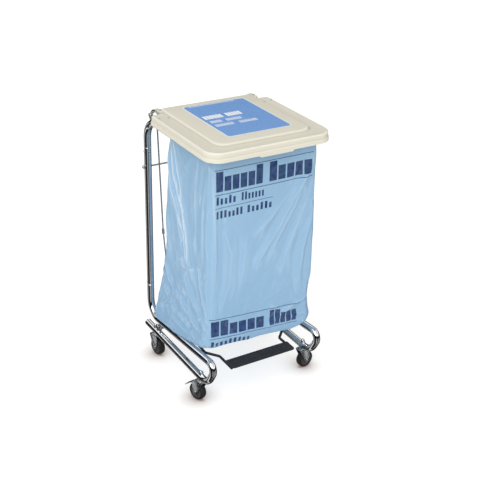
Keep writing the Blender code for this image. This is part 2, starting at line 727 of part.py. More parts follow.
def fork_mesh():
    """The pressed yoke: a hood that leans back over the wheel and two cheeks down to the axle."""
    axle = (TRAIL, WHEEL_R)
    outline = [(-0.0165, FORK_TOP_Z), (-0.0165, FORK_TOP_Z - 0.006)]
    outline += circle(axle, 0.0085, 8, math.radians(200), math.radians(150))
    outline += [(0.0290, FORK_TOP_Z - 0.012), (0.0200, FORK_TOP_Z)]
    fork = plate("fork", outline, -FORK_W / 2, FORK_W / 2, (), CUTTERS)
    inner = FORK_W / 2 - FORK_PLATE
    slot = block("slot", (-inner, -0.030, 0.0), (inner, 0.060, FORK_TOP_Z - 0.0030), CUTTERS)
    fork = boolean(fork, slot, "DIFFERENCE")
    bore = cylinder("bore", (0.0, *axle), AXLE_R + GAP, 0.05, "X", 12, CUTTERS)
    fork = boolean(fork, bore, "DIFFERENCE")
    mesh = fork.data.copy()
    bpy.data.objects.remove(fork, do_unlink=True)
    mesh.transform(Matrix.Rotation(-math.pi / 2, 4, "Z"))
    return mesh


def wheel_meshes():
    """The tyre and the hub, turned about the axle's direction (local Y)."""
    half = WHEEL_W / 2
    rim = WHEEL_R - 0.0085
    tyre = turned("tyre", [(WHEEL_R, half - 0.005), (WHEEL_R, -half + 0.005), (WHEEL_R - 0.003, -half + 0.0012),
                           (rim, -half), (rim, half), (WHEEL_R - 0.003, half - 0.0012)], 24, True, CUTTERS)
    bore, boss = AXLE_R + GAP, 0.0085
    edge = rim - GAP
    hub = turned("hub", [(edge, half - 0.0010), (edge, -half + 0.0010), (edge - 0.004, -half + 0.0010),
                         (edge - 0.005, -half + 0.005), (boss, -half + 0.005), (boss - 0.001, -half - 0.0008),
                         (bore, -half - 0.0008), (bore, half + 0.0008), (boss - 0.001, half + 0.0008),
                         (boss, half - 0.005), (edge - 0.005, half - 0.005), (edge - 0.004, half - 0.0010)],
                 16, True, CUTTERS)
    axle_half = FORK_W / 2 + GAP
    axle = turned("axle", [(0.0, axle_half + 0.0040), (0.0055, axle_half + 0.0035), (0.0065, axle_half),
                           (AXLE_R, axle_half), (AXLE_R, -axle_half), (0.0065, -axle_half),
                           (0.0065, -axle_half - 0.0040), (0.0, -axle_half - 0.0040)], 12, False, CUTTERS)
    meshes = []
    for obj in (tyre, hub, axle):
        mesh = obj.data.copy()
        bpy.data.objects.remove(obj, do_unlink=True)
        mesh.transform(Matrix.Rotation(math.pi / 2, 4, "X"))
        meshes.append(mesh)
    return meshes


def stem_mesh():
    """The swivel stem: dome nut on the tube, threaded shank through it, and the race under it."""
    nut_low = TUBE_R + GAP
    obj = turned("stem", [(0.0, nut_low + 0.0120), (0.0040, nut_low + 0.0108), (0.0062, nut_low + 0.0070),
                          (0.0085, nut_low + 0.0060), (0.0085, nut_low), (0.0055, nut_low),
                          (0.0055, -nut_low), (0.0135, -nut_low), (0.0135, -nut_low - 0.0018),
                          (0.0, -nut_low - 0.0018)], 14, False, CUTTERS)
    mesh = obj.data.copy()
    bpy.data.objects.remove(obj, do_unlink=True)
    return mesh


def brake_mesh():
    """The foot lever that locks a front wheel: a dished tab on a short arm that turns about local Y."""
    outline = [(-0.0025, -0.0012), (0.0050, -0.0050), (0.0180, -0.0160), (0.0310, -0.0260), (0.0325, -0.0235),
               (0.0190, -0.0125), (0.0065, -0.0018), (-0.0025, 0.0018)]
    tab = plate("brake", outline, -0.0100, 0.0100, (), CUTTERS)
    mesh = tab.data.copy()
    bpy.data.objects.remove(tab, do_unlink=True)
    mesh.transform(Matrix.Rotation(-math.pi / 2, 4, "Z"))
    return mesh


def casters():
    """Four swivel casters; the wheel trails behind its stem along the local +X of the swivel's empty."""
    fork, stem, brake = fork_mesh(), stem_mesh(), brake_mesh()
    tyre, hub, axle = wheel_meshes()
    for where, (x, y, heading) in CASTERS.items():
        stem_obj = finish(new_object(f"caster_stem_{where}", stem), ROOT, chrome())
        stem_obj.location = (x, y, LOWER_Z)
        swivel = empty(f"swivel_axis_{where}", (x, y, 0.0), ROOT, heading)
        finish(new_object(f"caster_fork_{where}", fork), swivel, chrome(), 30.0)
        spin = empty(f"wheel_axis_{where}", (TRAIL, 0.0, WHEEL_R), swivel)
        finish(new_object(f"caster_axle_{where}", axle), swivel, zinc()).location = spin.location
        finish(new_object(f"caster_tyre_{where}", tyre), spin, black_rubber(), 50.0)
        finish(new_object(f"caster_hub_{where}", hub), spin, grey_hub())
        if where in BRAKED:
            hinge = empty(f"brake_axis_{where}", (BRAKE_X, 0.0, BRAKE_Z), swivel)
            finish(new_object(f"brake_lever_{where}", brake), hinge, zinc())


# ---------------------------------------------------------------- assembly

def build():
    start_scene()
    side_tube()
    posts()
    top_arms()
    cross_members()
    fasteners()
    hinge_brackets()
    pivot_lugs()
    bag()

    lid_axis = empty("lid_axis", Vector((0.0, HINGE_Y, HINGE_Z)), ROOT)
    lid(lid_axis)
    label(lid_axis)
    hinge_arms(lid_axis)
    hinge_hoods(lid_axis)
    crank(lid_axis)

    pedal_axis = empty("pedal_axis", Vector((0.0, PEDAL_Y, PEDAL_Z)), ROOT)
    pedal(pedal_axis)
    link_axis = empty("link_axis", Vector((0.0, PEDAL_REAR_Y, PEDAL_REAR_Z)), ROOT)
    linkage(link_axis)

    casters()


build()
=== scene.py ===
"""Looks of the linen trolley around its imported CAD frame.

Metres, +Z up, front towards -Y. Shapes are written in the stem frame, whose origin lies on the floor in the
middle of the four caster stems, and are moved into the row frame as each piece is made.
"""

import json
import math
import random
from functools import partial

import bmesh
import bpy
import numpy as np
from mathutils import Matrix, Vector

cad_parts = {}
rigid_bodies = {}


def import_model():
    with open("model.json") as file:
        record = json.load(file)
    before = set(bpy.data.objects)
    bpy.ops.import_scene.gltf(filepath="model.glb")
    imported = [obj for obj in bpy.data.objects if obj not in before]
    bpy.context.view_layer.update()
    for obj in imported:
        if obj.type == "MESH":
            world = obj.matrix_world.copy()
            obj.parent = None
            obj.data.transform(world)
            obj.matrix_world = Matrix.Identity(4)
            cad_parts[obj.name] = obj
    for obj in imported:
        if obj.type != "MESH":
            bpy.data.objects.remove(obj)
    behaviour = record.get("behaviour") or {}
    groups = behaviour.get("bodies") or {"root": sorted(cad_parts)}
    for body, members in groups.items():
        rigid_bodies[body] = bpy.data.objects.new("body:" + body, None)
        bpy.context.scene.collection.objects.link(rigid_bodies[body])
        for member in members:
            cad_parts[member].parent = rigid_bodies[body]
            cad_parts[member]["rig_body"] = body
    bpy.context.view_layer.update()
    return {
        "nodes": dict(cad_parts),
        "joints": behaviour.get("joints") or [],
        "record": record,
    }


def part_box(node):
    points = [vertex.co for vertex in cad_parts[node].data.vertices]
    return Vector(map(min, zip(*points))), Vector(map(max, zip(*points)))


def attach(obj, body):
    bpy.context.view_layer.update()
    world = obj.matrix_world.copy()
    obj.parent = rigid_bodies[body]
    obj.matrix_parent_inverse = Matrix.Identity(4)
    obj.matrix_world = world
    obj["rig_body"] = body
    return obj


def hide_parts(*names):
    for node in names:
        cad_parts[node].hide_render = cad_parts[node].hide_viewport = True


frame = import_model()
nodes = frame["nodes"]
CORNERS = ("front_left", "front_right", "rear_left", "rear_right")
SIDES = (("left", -1.0), ("right", 1.0))


def middle(node):
    """The middle of a CAD solid's box."""
    low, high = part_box(node)
    return (low + high) / 2


STEMS = {corner: middle(f"caster_stem_{corner}") for corner in CORNERS}
ORIGIN = Vector((sum(p.x for p in STEMS.values()) / 4, sum(p.y for p in STEMS.values()) / 4, 0.0))


# ---------------------------------------------------------------- dimensions in the stem frame

GAP = 0.0003                         # air between solids that stand against each other
TUBE_R = 0.0127
SIDE_X = 0.2095
INNER_X = SIDE_X - TUBE_R
LOWER_Z, LOWER_REAR_Y = 0.095, 0.236
LOW_BEND = (-0.2215, 0.068)          # y and radius where the lower tubes turn up
HIGH_BEND = (-0.2785, 0.025)         # y and radius where they fold back
RAIL_Z, RAIL_SLOPE = 0.1676, -0.0913
POST_Y, REAR_BEND_R = 0.208, 0.060
LOW_JOINT_Z, HIGH_JOINT_Z = 0.273, 0.802
ARM_Z, ARM_BEND_R = 0.905, 0.068
HOOP_FRONT_Y, HOOP_CORNER_R = -0.2227, 0.050
HOOP_REAR_Y, HOOP_REAR_R = 0.100, 0.005
TIE_Z, TIE_R = 0.732, 0.003
SCREW_STEP = 0.014                   # from a post's end to its screw
CROSS_R, CROSS_Y, CROSS_X = 0.0111, 0.150, 0.216
STRUT_Y, STRUT_R = 0.128, 0.003
HINGE_Y, HINGE_Z, HINGE_X = 0.218, 0.910, 0.1915

LID_HALF_X, LID_FRONT_Y, LID_REAR_Y = 0.2275, -0.2575, 0.186
LID_NOTCH = (0.188, 0.150)
LID_CORNER = 0.052
LID_SKIRT_Z, LID_LIP_Z, LID_FLANGE_Z, LID_TOP_Z = 0.904, 0.899, 0.9355, 0.942
LID_WALL = 0.003
PLATEAU = (0.173, -0.208)            # half width and front edge of the raised middle
LIP_X = (-0.055, 0.072)
RIVETS = ((0.184, 0.099, LID_FLANGE_Z + 0.0002), (0.214, 0.105, LID_FLANGE_Z + 0.0002),
          (0.1815, 0.166, LID_TOP_Z))
LABEL_SIZE, LABEL_CENTRE = (0.238, 0.310), (0.0099, -0.0035)

PEDAL_Y, PEDAL_Z = -0.015, 0.150
PEDAL_R, PEDAL_ARM_X, PEDAL_NECK_X = 0.00475, 0.160, 0.123
PEDAL_REAR_Y, PEDAL_REAR_Z = 0.194, 0.133
TREAD_HALF_X, TREAD_Y, TREAD_Z, TREAD_RIBS = 0.127, (-0.247, -0.193), (0.1420, 0.1465), 6

WHEEL_R, WHEEL_HALF, RIM_R = 0.032, 0.012, 0.0235
HUB_BORE_R, SPOKES = 0.0043, 5
AXLE_REACH = 0.01605                 # from the wheel's middle to the fork's outer faces


def rail_z(y):
    """Height of the upper rails' axes."""
    return RAIL_Z + RAIL_SLOPE * y


# ---------------------------------------------------------------- materials

NOISE_SPAN = (0.3, 0.7)              # where nearly all values of a noise field lie


def feed(tree, node, inputs):
    """Gives a node's inputs, by name or number, the sockets to link or the values to hold."""
    for name, value in inputs.items():
        if isinstance(value, bpy.types.NodeSocket):
            tree.links.new(value, node.inputs[name])
        else:
            node.inputs[name].default_value = value


def add(tree, kind, inputs, output=0):
    """A new shader node of a kind; returns one of its outputs."""
    node = tree.nodes.new(f"ShaderNode{kind}")
    feed(tree, node, inputs)
    return node.outputs[output]


def shader(name, colour, roughness, metallic=0.0, specular=0.5):
    """A Principled material; returns it with its tree and its shader node."""
    made = bpy.data.materials.new(name)
    made.use_nodes = True
    tree = made.node_tree
    principled = tree.nodes["Principled BSDF"]
    feed(tree, principled, {"Base Color": (*colour, 1.0), "Roughness": roughness, "Metallic": metallic,
                            "Specular IOR Level": specular})
    return made, tree, principled


def noise_field(tree, scale, detail, stretch=(1.0, 1.0, 1.0)):
    """Noise in object space, stretched along the axes."""
    where = add(tree, "Mapping", {"Vector": add(tree, "TexCoord", {}, "Object"), "Scale": stretch})
    return add(tree, "TexNoise", {"Vector": where, "Scale": scale, "Detail": detail}, "Fac")


def remap(tree, value, before, after):
    """Maps a socket's value from one range onto another, and holds it there."""
    limits = zip(("From Min", "From Max", "To Min", "To Max"), (*before, *after))
    return add(tree, "MapRange", {"Value": value, **dict(limits)}, "Result")


def mixed(tree, factor, first, second):
    """A colour between two, each a colour or a socket, by a factor."""
    node = tree.nodes.new("ShaderNodeMix")
    node.data_type = "RGBA"
    first, second = ((*c, 1.0) if isinstance(c, tuple) else c for c in (first, second))
    feed(tree, node, {"Factor": factor, "A": first, "B": second})
    return node.outputs["Result"]


def math_node(tree, operation, *values):
    """The result of a calculation on sockets or numbers."""
    node = tree.nodes.new("ShaderNodeMath")
    node.operation = operation
    feed(tree, node, dict(enumerate(values)))
    return node.outputs[0]


def gradient(tree, factor, stops):
    """A grey ramp with its stops at the given places."""
    node = tree.nodes.new("ShaderNodeValToRGB")
    feed(tree, node, {"Fac": factor})
    elements = node.color_ramp.elements
    while len(elements) < len(stops):
        elements.new(0.5)
    for element, (place, value) in zip(elements, stops):
        element.position = place
        element.color = (value, value, value, 1.0)
    return node.outputs["Color"]


def marks(tree, name, share):
    """How far a point attribute is above 0, or below it for a negative share, times the share."""
    mark = tree.nodes.new("ShaderNodeAttribute")
    mark.attribute_name = name
    return math_node(tree, "MAXIMUM", math_node(tree, "MULTIPLY", mark.outputs["Fac"], share), 0.0)


def roughen(tree, principled, height, strength, distance):
    """Bump from a height; returns the normal."""
    normal = add(tree, "Bump", {"Strength": strength, "Distance": distance, "Height": height}, "Normal")
    feed(tree, principled, {"Normal": normal})
    return normal


def finish(name, colour, roughness, mottle, shades, smear, gloss, grain, bump, metallic=0.0, specular=0.5):
    """A material varied by three noises, each given as scale and detail.

    mottle takes the colour from one shade to the other, smear takes the roughness over the range in gloss,
    and grain is the height of the bump, whose strength and depth follow it.
    """
    made, tree, principled = shader(name, colour, roughness, metallic, specular)
    feed(tree, principled, {"Base Color": mixed(tree, noise_field(tree, *mottle), *shades),
                            "Roughness": remap(tree, noise_field(tree, *smear), NOISE_SPAN, gloss)})
    roughen(tree, principled, noise_field(tree, *grain), *bump)
    return made


def paint_edge_light_and_shade(material):
    """Paints a highlight on what a mesh's "edge" attribute marks as edges, and painted shade into the corners
    it marks below 0.
    """
    tree = material.node_tree
    base = tree.nodes["Principled BSDF"].inputs["Base Color"]
    # painted highlight: edges marked above 0 are mixed towards pale cream
    worn_ink_and_lit_edge = mixed(tree, marks(tree, "edge", 0.60), base.links[0].from_socket, (0.86, 0.84, 0.76))
    # painted shade: corners marked below 0 are mixed towards dark brown
    tree.links.new(mixed(tree, marks(tree, "edge", -0.42), worn_ink_and_lit_edge, (0.42, 0.39, 0.30)), base)
    return material


def make_card(name, shades, roughness):
    """Printed card under a clear film."""
    made = finish(name, shades[0], roughness, (14.0, 4.0), shades,
                  (25.0, 2.0), (roughness - 0.06, roughness + 0.08), (30.0, 1.0), (0.08, 0.0003))
    tree = made.node_tree
    feed(tree, tree.nodes["Principled BSDF"], {"Coat Weight": 0.15, "Coat Roughness": 0.20})
    return made


# what is printed on the film, as left, right, low, high, blocks in the row, and how full each block's step
# is; a row of no blocks is one thin rule
BOLD, THIN, RULE = 0.84, 0.56, 1.0
PRINT = (
    (-0.181, -0.008, 0.7890, 0.8560, 6, BOLD), (0.012, 0.178, 0.7890, 0.8560, 5, BOLD),
    (-0.182, 0.181, 0.8595, 0.8618, 0, RULE), (-0.182, 0.181, 0.7775, 0.7798, 0, RULE),
    (-0.181, -0.106, 0.7450, 0.7730, 5, THIN), (-0.090, -0.002, 0.7450, 0.7730, 7, THIN),
    (-0.182, 0.030, 0.7328, 0.7345, 0, RULE),
    (-0.181, -0.080, 0.6980, 0.7240, 7, THIN), (-0.068, 0.030, 0.6980, 0.7240, 6, THIN),
    (-0.195, 0.015, 0.2680, 0.3260, 6, BOLD), (0.034, 0.148, 0.2680, 0.3260, 5, BOLD),
    (-0.197, 0.160, 0.3320, 0.3342, 0, RULE), (-0.197, 0.150, 0.2595, 0.2615, 0, RULE),
    (-0.197, -0.040, 0.2290, 0.2510, 9, THIN),
)
PRINT_BLUR = 0.0009
INK = (0.016, 0.045, 0.165)
SHORT_FROM, SHORT_DROP = 0.38, 0.27      # a draw from which blocks are shorter, and by what share


def print_mask(tree, calc, across, up):
    """1 where the film is printed, 0 elsewhere, over the print's plane."""
    def past(value, start, end):
        off_middle = calc("ABSOLUTE", calc("SUBTRACT", value, (start + end) / 2))
        return calc("SUBTRACT", off_middle, (end - start) / 2)

    ink = None
    for row, (left, right, low, high, count, fill) in enumerate(PRINT):
        outside = calc("MAXIMUM", past(across, left, right), past(up, low, high))
        mask = remap(tree, outside, (-PRINT_BLUR, PRINT_BLUR), (1.0, 0.0))
        if count:
            place = calc("DIVIDE", calc("SUBTRACT", across, left), (right - left) / count)
            dice = tree.nodes.new("ShaderNodeTexWhiteNoise")
            dice.noise_dimensions = "1D"
            feed(tree, dice, {"W": calc("ADD", calc("FLOOR", place), 17.0 * row + 3.5)})
            short = calc("GREATER_THAN", dice.outputs["Value"], SHORT_FROM)
            later = calc("GREATER_THAN", place, 1.0)
            drop = calc("MULTIPLY", calc("MULTIPLY", short, later), SHORT_DROP * (high - low))
            lower = calc("LESS_THAN", up, calc("SUBTRACT", high, drop))
            solid = calc("LESS_THAN", calc("ABSOLUTE", calc("SUBTRACT", calc("FRACT", place), 0.5)), fill / 2)
            mask = calc("MULTIPLY", mask, calc("MULTIPLY", solid, lower))
        ink = mask if ink is None else calc("MAXIMUM", ink, mask)
    return ink


def make_film():
    """Thin blue film: glossy, a little translucent, finely crinkled, with plain printed blocks."""
    made, tree, principled = shader("film_look", (0.36, 0.57, 0.78), 0.26, specular=0.9)
    calc = partial(math_node, tree)
    place = tree.nodes.new("ShaderNodeUVMap")
    place.uv_map = "print"
    spot = {"Vector": place.outputs["UV"]}
    across = calc("MULTIPLY", calc("SUBTRACT", add(tree, "SeparateXYZ", spot, "X"), 0.5), 2.0)
    ink = print_mask(tree, calc, across, add(tree, "SeparateXYZ", spot, "Y"))
    worn_ink_and_lit_edge = calc("MULTIPLY", ink, remap(tree, noise_field(tree, 60.0, 4.0), NOISE_SPAN, (0.86, 0.98)))

    cloud = noise_field(tree, 5.0, 4.0, (1.0, 1.0, 0.5))
    film = mixed(tree, cloud, (0.375, 0.600, 0.815), (0.430, 0.655, 0.850))
    # painted shade in the valleys of the folds and painted highlight along their crests, read from the
    # "crease" attribute
    film = mixed(tree, marks(tree, "crease", -0.45), film, (0.20, 0.40, 0.66))
    film = mixed(tree, marks(tree, "crease", 0.78), film, (0.88, 0.94, 0.98))
    height = add(tree, "SeparateXYZ", {"Vector": add(tree, "TexCoord", {}, "Object")}, "Z")
    # painted shade: the film turns darker towards the bottom
    painted_low_shade = remap(tree, height, (0.20, 0.50), (0.30, 0.0))
    colour = mixed(tree, worn_ink_and_lit_edge, mixed(tree, painted_low_shade, film, (0.24, 0.44, 0.67)), INK)
    feed(tree, principled, {"Base Color": colour, "Coat Weight": 0.35, "Coat Roughness": 0.07,
                            "Roughness": remap(tree, noise_field(tree, 30.0, 3.0), NOISE_SPAN, (0.13, 0.22))})
    crinkle = calc("ADD", noise_field(tree, 26.0, 5.0, (1.6, 1.6, 0.35)),
                   calc("MULTIPLY", noise_field(tree, 75.0, 4.0, (1.0, 1.0, 0.6)), 0.35))
    normal = roughen(tree, principled, crinkle, 0.22, 0.0035)
    through = add(tree, "BsdfTranslucent", {"Color": colour, "Normal": normal})
    surface = add(tree, "MixShader", {0: 0.28, 1: principled.outputs["BSDF"], 2: through})
    feed(tree, tree.nodes["Material Output"], {"Surface": surface})
    return made


CHROME = finish("chrome_look", (0.82, 0.83, 0.85), 0.08,
                (22.0, 4.0), ((0.76, 0.77, 0.79), (0.86, 0.87, 0.89)),
                (22.0, 4.0), (0.045, 0.13), (90.0, 2.0), (0.04, 0.0006), 1.0)
# plated pressings are duller and darker than the drawn tubes
SATIN = finish("satin_look", (0.50, 0.51, 0.53), 0.24,
               (120.0, 4.0), ((0.40, 0.41, 0.43), (0.58, 0.59, 0.60)),
               (120.0, 4.0), (0.16, 0.34), (300.0, 2.0), (0.10, 0.0002), 1.0)
ZINC = finish("zinc_look", (0.60, 0.61, 0.62), 0.28,
              (160.0, 3.0), ((0.50, 0.51, 0.52), (0.70, 0.70, 0.69)),
              (160.0, 3.0), (0.20, 0.40), (700.0, 2.0), (0.10, 0.0002), 1.0)
# the cream lid gets painted highlights on its edges and painted shade in its corners
CREAM = paint_edge_light_and_shade(finish("cream_look", (0.80, 0.76, 0.63), 0.38,
                    (9.0, 3.0), ((0.670, 0.640, 0.530), (0.715, 0.685, 0.577)),
                    (40.0, 2.0), (0.28, 0.38), (34.0, 1.0), (0.10, 0.0004), specular=0.38))
BLACK = finish("black_paint_look", (0.014, 0.015, 0.017), 0.42,
               (60.0, 4.0), ((0.016, 0.016, 0.018), (0.036, 0.036, 0.039)),
               (30.0, 3.0), (0.28, 0.48), (420.0, 2.0), (0.16, 0.0003), specular=0.35)
RUBBER = finish("rubber_look", (0.018, 0.018, 0.018), 0.62,
                (55.0, 5.0), ((0.007, 0.007, 0.007), (0.022, 0.021, 0.019)),
                (55.0, 5.0), (0.42, 0.66), (600.0, 3.0), (0.20, 0.0003), specular=0.35)
HUB = finish("hub_look", (0.05, 0.05, 0.055), 0.45,
             (70.0, 3.0), ((0.035, 0.036, 0.040), (0.070, 0.070, 0.074)),
             (70.0, 3.0), (0.45, 0.45), (800.0, 2.0), (0.15, 0.0002))
CARD_BLUE = make_card("card_blue", ((0.115, 0.290, 0.640), (0.135, 0.320, 0.690)), 0.30)
CARD_PALE = make_card("card_pale", ((0.84, 0.88, 0.92), (0.90, 0.93, 0.96)), 0.34)
LOOKS = {"chrome": CHROME, "zinc": ZINC, "cream_plastic": CREAM, "blue_label": CARD_BLUE,
         "blue_film": make_film(), "black_paint": BLACK, "black_rubber": RUBBER, "grey_hub": HUB}


# ---------------------------------------------------------------- mesh helpers

def new_mesh(name, points, faces):
    """A mesh in the row frame from points in the stem frame, its faces looking outwards."""
    mesh = bpy.data.meshes.new(name)
    mesh.from_pydata([tuple(Vector(p) + ORIGIN) for p in points], [], [tuple(f) for f in faces])
    bm = bmesh.new()
    bm.from_mesh(mesh)
    bmesh.ops.recalc_face_normals(bm, faces=bm.faces)
    bm.to_mesh(mesh)
    bm.free()
    return mesh


def piece(name, points, faces, slot, body, replaced=(), sharp=35.0, look=None):
    """A mesh piece from points in the stem frame, on its body, in its finish."""
    return settle(name, new_mesh(name, points, faces), slot, body, replaced, sharp, look)


def settle(name, mesh, slot, body, replaced=(), sharp=35.0, look=None):
    """Makes the object of a mesh that is already in the row frame."""
    mesh.shade_smooth()
    mesh.set_sharp_from_angle(angle=math.radians(sharp))
    obj = bpy.data.objects.new(name, mesh)
    bpy.context.scene.collection.objects.link(obj)
    obj.data.materials.clear()
    obj.data.materials.append(look or LOOKS[slot])
    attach(obj, body)
    if replaced:
        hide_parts(*replaced)
    return obj


def unit(vector):
    """A vector at length 1."""
    return vector / max(float(np.linalg.norm(vector)), 1e-12)


def rounded(corners, radii, steps=14):
    """A path through corners with each inner corner rounded."""
    points = [np.array(c, float) for c in corners]
    path = [points[0]]
    for before, corner, after, radius in zip(points, points[1:], points[2:], radii):
        a, b = unit(before - corner), unit(after - corner)
        half = math.acos(float(np.clip(a @ b, -1.0, 1.0))) / 2
        centre = corner + unit(a + b) * radius / math.sin(half)
        start, end = (corner + leg * radius / math.tan(half) - centre for leg in (a, b))
        sweep = math.pi - 2 * half
        for i in range(steps + 1):
            t = i / steps
            out = (start * math.sin((1 - t) * sweep) + end * math.sin(t * sweep)) / math.sin(sweep)
            path.append(centre + out)
    path.append(points[-1])
    return path


def lengthen(path, step=0.02):
    """Adds points along a path's long straights, so that its reflections stay even."""
    out = [path[0]]
    for a, b in zip(path, path[1:]):
        count = max(1, int(np.linalg.norm(b - a) / step))
        out += [a + (b - a) * k / count for k in range(1, count + 1)]
    return out


def straight(start, end, step=0.02):
    """A path from one point to another with points along it."""
    return lengthen([np.array(start), np.array(end)], step)


def ring_faces(rings, count):
    """Quads between closed rings of points that follow each other."""
    return [(i * count + k, i * count + j, (i + 1) * count + j, (i + 1) * count + k)
            for i in range(rings - 1) for k, j in enumerate([*range(1, count), 0])]


def prism(low, high):
    """Points and faces of a solid between two rings."""
    n = len(low)
    return [*low, *high], [tuple(range(n)), tuple(range(n, 2 * n))] + ring_faces(2, n)


def tube(path, radius, sides=36, ease=0.0008):
    """Points and faces of a round bar along a path, its ends eased by a small chamfer."""
    path = [np.array(p, float) for p in path]
    first, last = unit(path[1] - path[0]), unit(path[-1] - path[-2])
    path = [path[0], path[0] + first * ease, *path[1:-1], path[-1] - last * ease, path[-1]]
    radii = [radius - ease] + [radius] * (len(path) - 2) + [radius - ease]
    tangents = [unit(b - a) for a, b in zip(path, path[1:])]
    tangents = [tangents[0]] + [unit(a + b) for a, b in zip(tangents, tangents[1:])] + [tangents[-1]]
    side = unit(np.cross(tangents[0], (0.31, 0.52, 0.79)))
    points = []
    for place, along, r in zip(path, tangents, radii):
        side = unit(side - along * (side @ along))
        other = np.cross(along, side)
        for k in range(sides):
            a = 2 * math.pi * k / sides
            points.append(place + r * (math.cos(a) * side + math.sin(a) * other))
    last = (len(path) - 1) * sides
    caps = [tuple(range(sides)), tuple(reversed(range(last, last + sides)))]
    return points, ring_faces(len(path), sides) + caps


def lathe(profile, turn, segments=40):
    """Points and faces turned about Z from (radius, z) pairs, then placed by a matrix."""
    points, faces, rings = [], [], []
    for radius, height in profile:
        if radius < 1e-6:
            rings.append([len(points)])
            points.append(turn @ Vector((0.0, 0.0, height)))
        else:
            rings.append(list(range(len(points), len(points) + segments)))
            points += [turn @ Vector((radius * math.cos(2 * math.pi * k / segments),
                                      radius * math.sin(2 * math.pi * k / segments), height))
                       for k in range(segments)]
    for a, b in zip(rings, rings[1:]):
        for k in range(segments):
            j = (k + 1) % segments
            loop = [a[k % len(a)], a[j % len(a)], b[j % len(b)], b[k % len(b)]]
            faces.append(tuple(dict.fromkeys(loop)))
    return points, [f for f in faces if len(f) > 2]


def joined(*parts):
    """One points-and-faces pair from several."""
    points, faces = [], []
    for some_points, some_faces in parts:
        start = len(points)
        points += list(some_points)
        faces += [tuple(i + start for i in f) for f in some_faces]
    return points, faces


def facing(centre, direction):
    """A matrix that puts +Z along a direction at a point."""
    return Matrix.Translation(Vector(centre)) @ Vector(direction).to_track_quat("Z", "Y").to_matrix().to_4x4()


def corner_ring(corners, height):
    """A closed ring at one height; a corner is x, y, where its round starts, and steps."""
    ring = []
    for i, (x, y, setback, steps) in enumerate(corners):
        here = np.array((x, y))
        into = unit(np.array(corners[i - 1][:2]) - here)
        out = unit(np.array(corners[(i + 1) % len(corners)][:2]) - here)
        weight = math.sin(math.acos(float(np.clip(into @ out, -1, 1))) / 2)
        start, end = here + into * setback, here + out * setback
        for k in range(steps + 1):
            t = k / steps
            a, b, c = (1 - t) ** 2, 2 * t * (1 - t) * weight, t * t
            x_y = (start * a + here * b + end * c) / (a + b + c)
            ring.append((x_y[0], x_y[1], height))
    return ring


def refined(node, name, slot, bevel, segments=3, sharp=30.0, look=None):
    """A copy of a CAD solid with its edges rounded, in place of the plain one."""
    mesh = nodes[node].data.copy()
    bm = bmesh.new()
    bm.from_mesh(mesh)
    bmesh.ops.remove_doubles(bm, verts=bm.verts, dist=1e-6)
    bmesh.ops.dissolve_limit(bm, angle_limit=math.radians(1.0), verts=bm.verts, edges=bm.edges)
    edges = [e for e in bm.edges if len(e.link_faces) == 2 and e.calc_face_angle(0.0) > math.radians(28.0)]
    bmesh.ops.bevel(bm, geom=edges, offset=bevel, segments=segments, profile=0.5, affect="EDGES",
                    clamp_overlap=True)
    bm.to_mesh(mesh)
    bm.free()
    return settle(name, mesh, slot, nodes[node]["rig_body"], (node,), sharp, look)


def dome_head(centre, direction, radius, height):
    """A pan head: a low dome with a rounded rim."""
    profile = [(0.0, height), (radius * 0.45, height * 0.96), (radius * 0.78, height * 0.74),
               (radius * 0.95, height * 0.40), (radius, height * 0.12), (radius, -0.0006), (0.0, -0.0006)]
    return lathe(profile, facing(centre, direction), 24)


# ---------------------------------------------------------------- frame

def bar(node, ending, path, radius=TUBE_R, slot="chrome", body="frame", sides=36, ease=0.0008):
    """A tube or rod in place of the CAD solid of that name."""
    piece(f"{node}_{ending}", *tube(path, radius, sides, ease), slot, body, (node,))


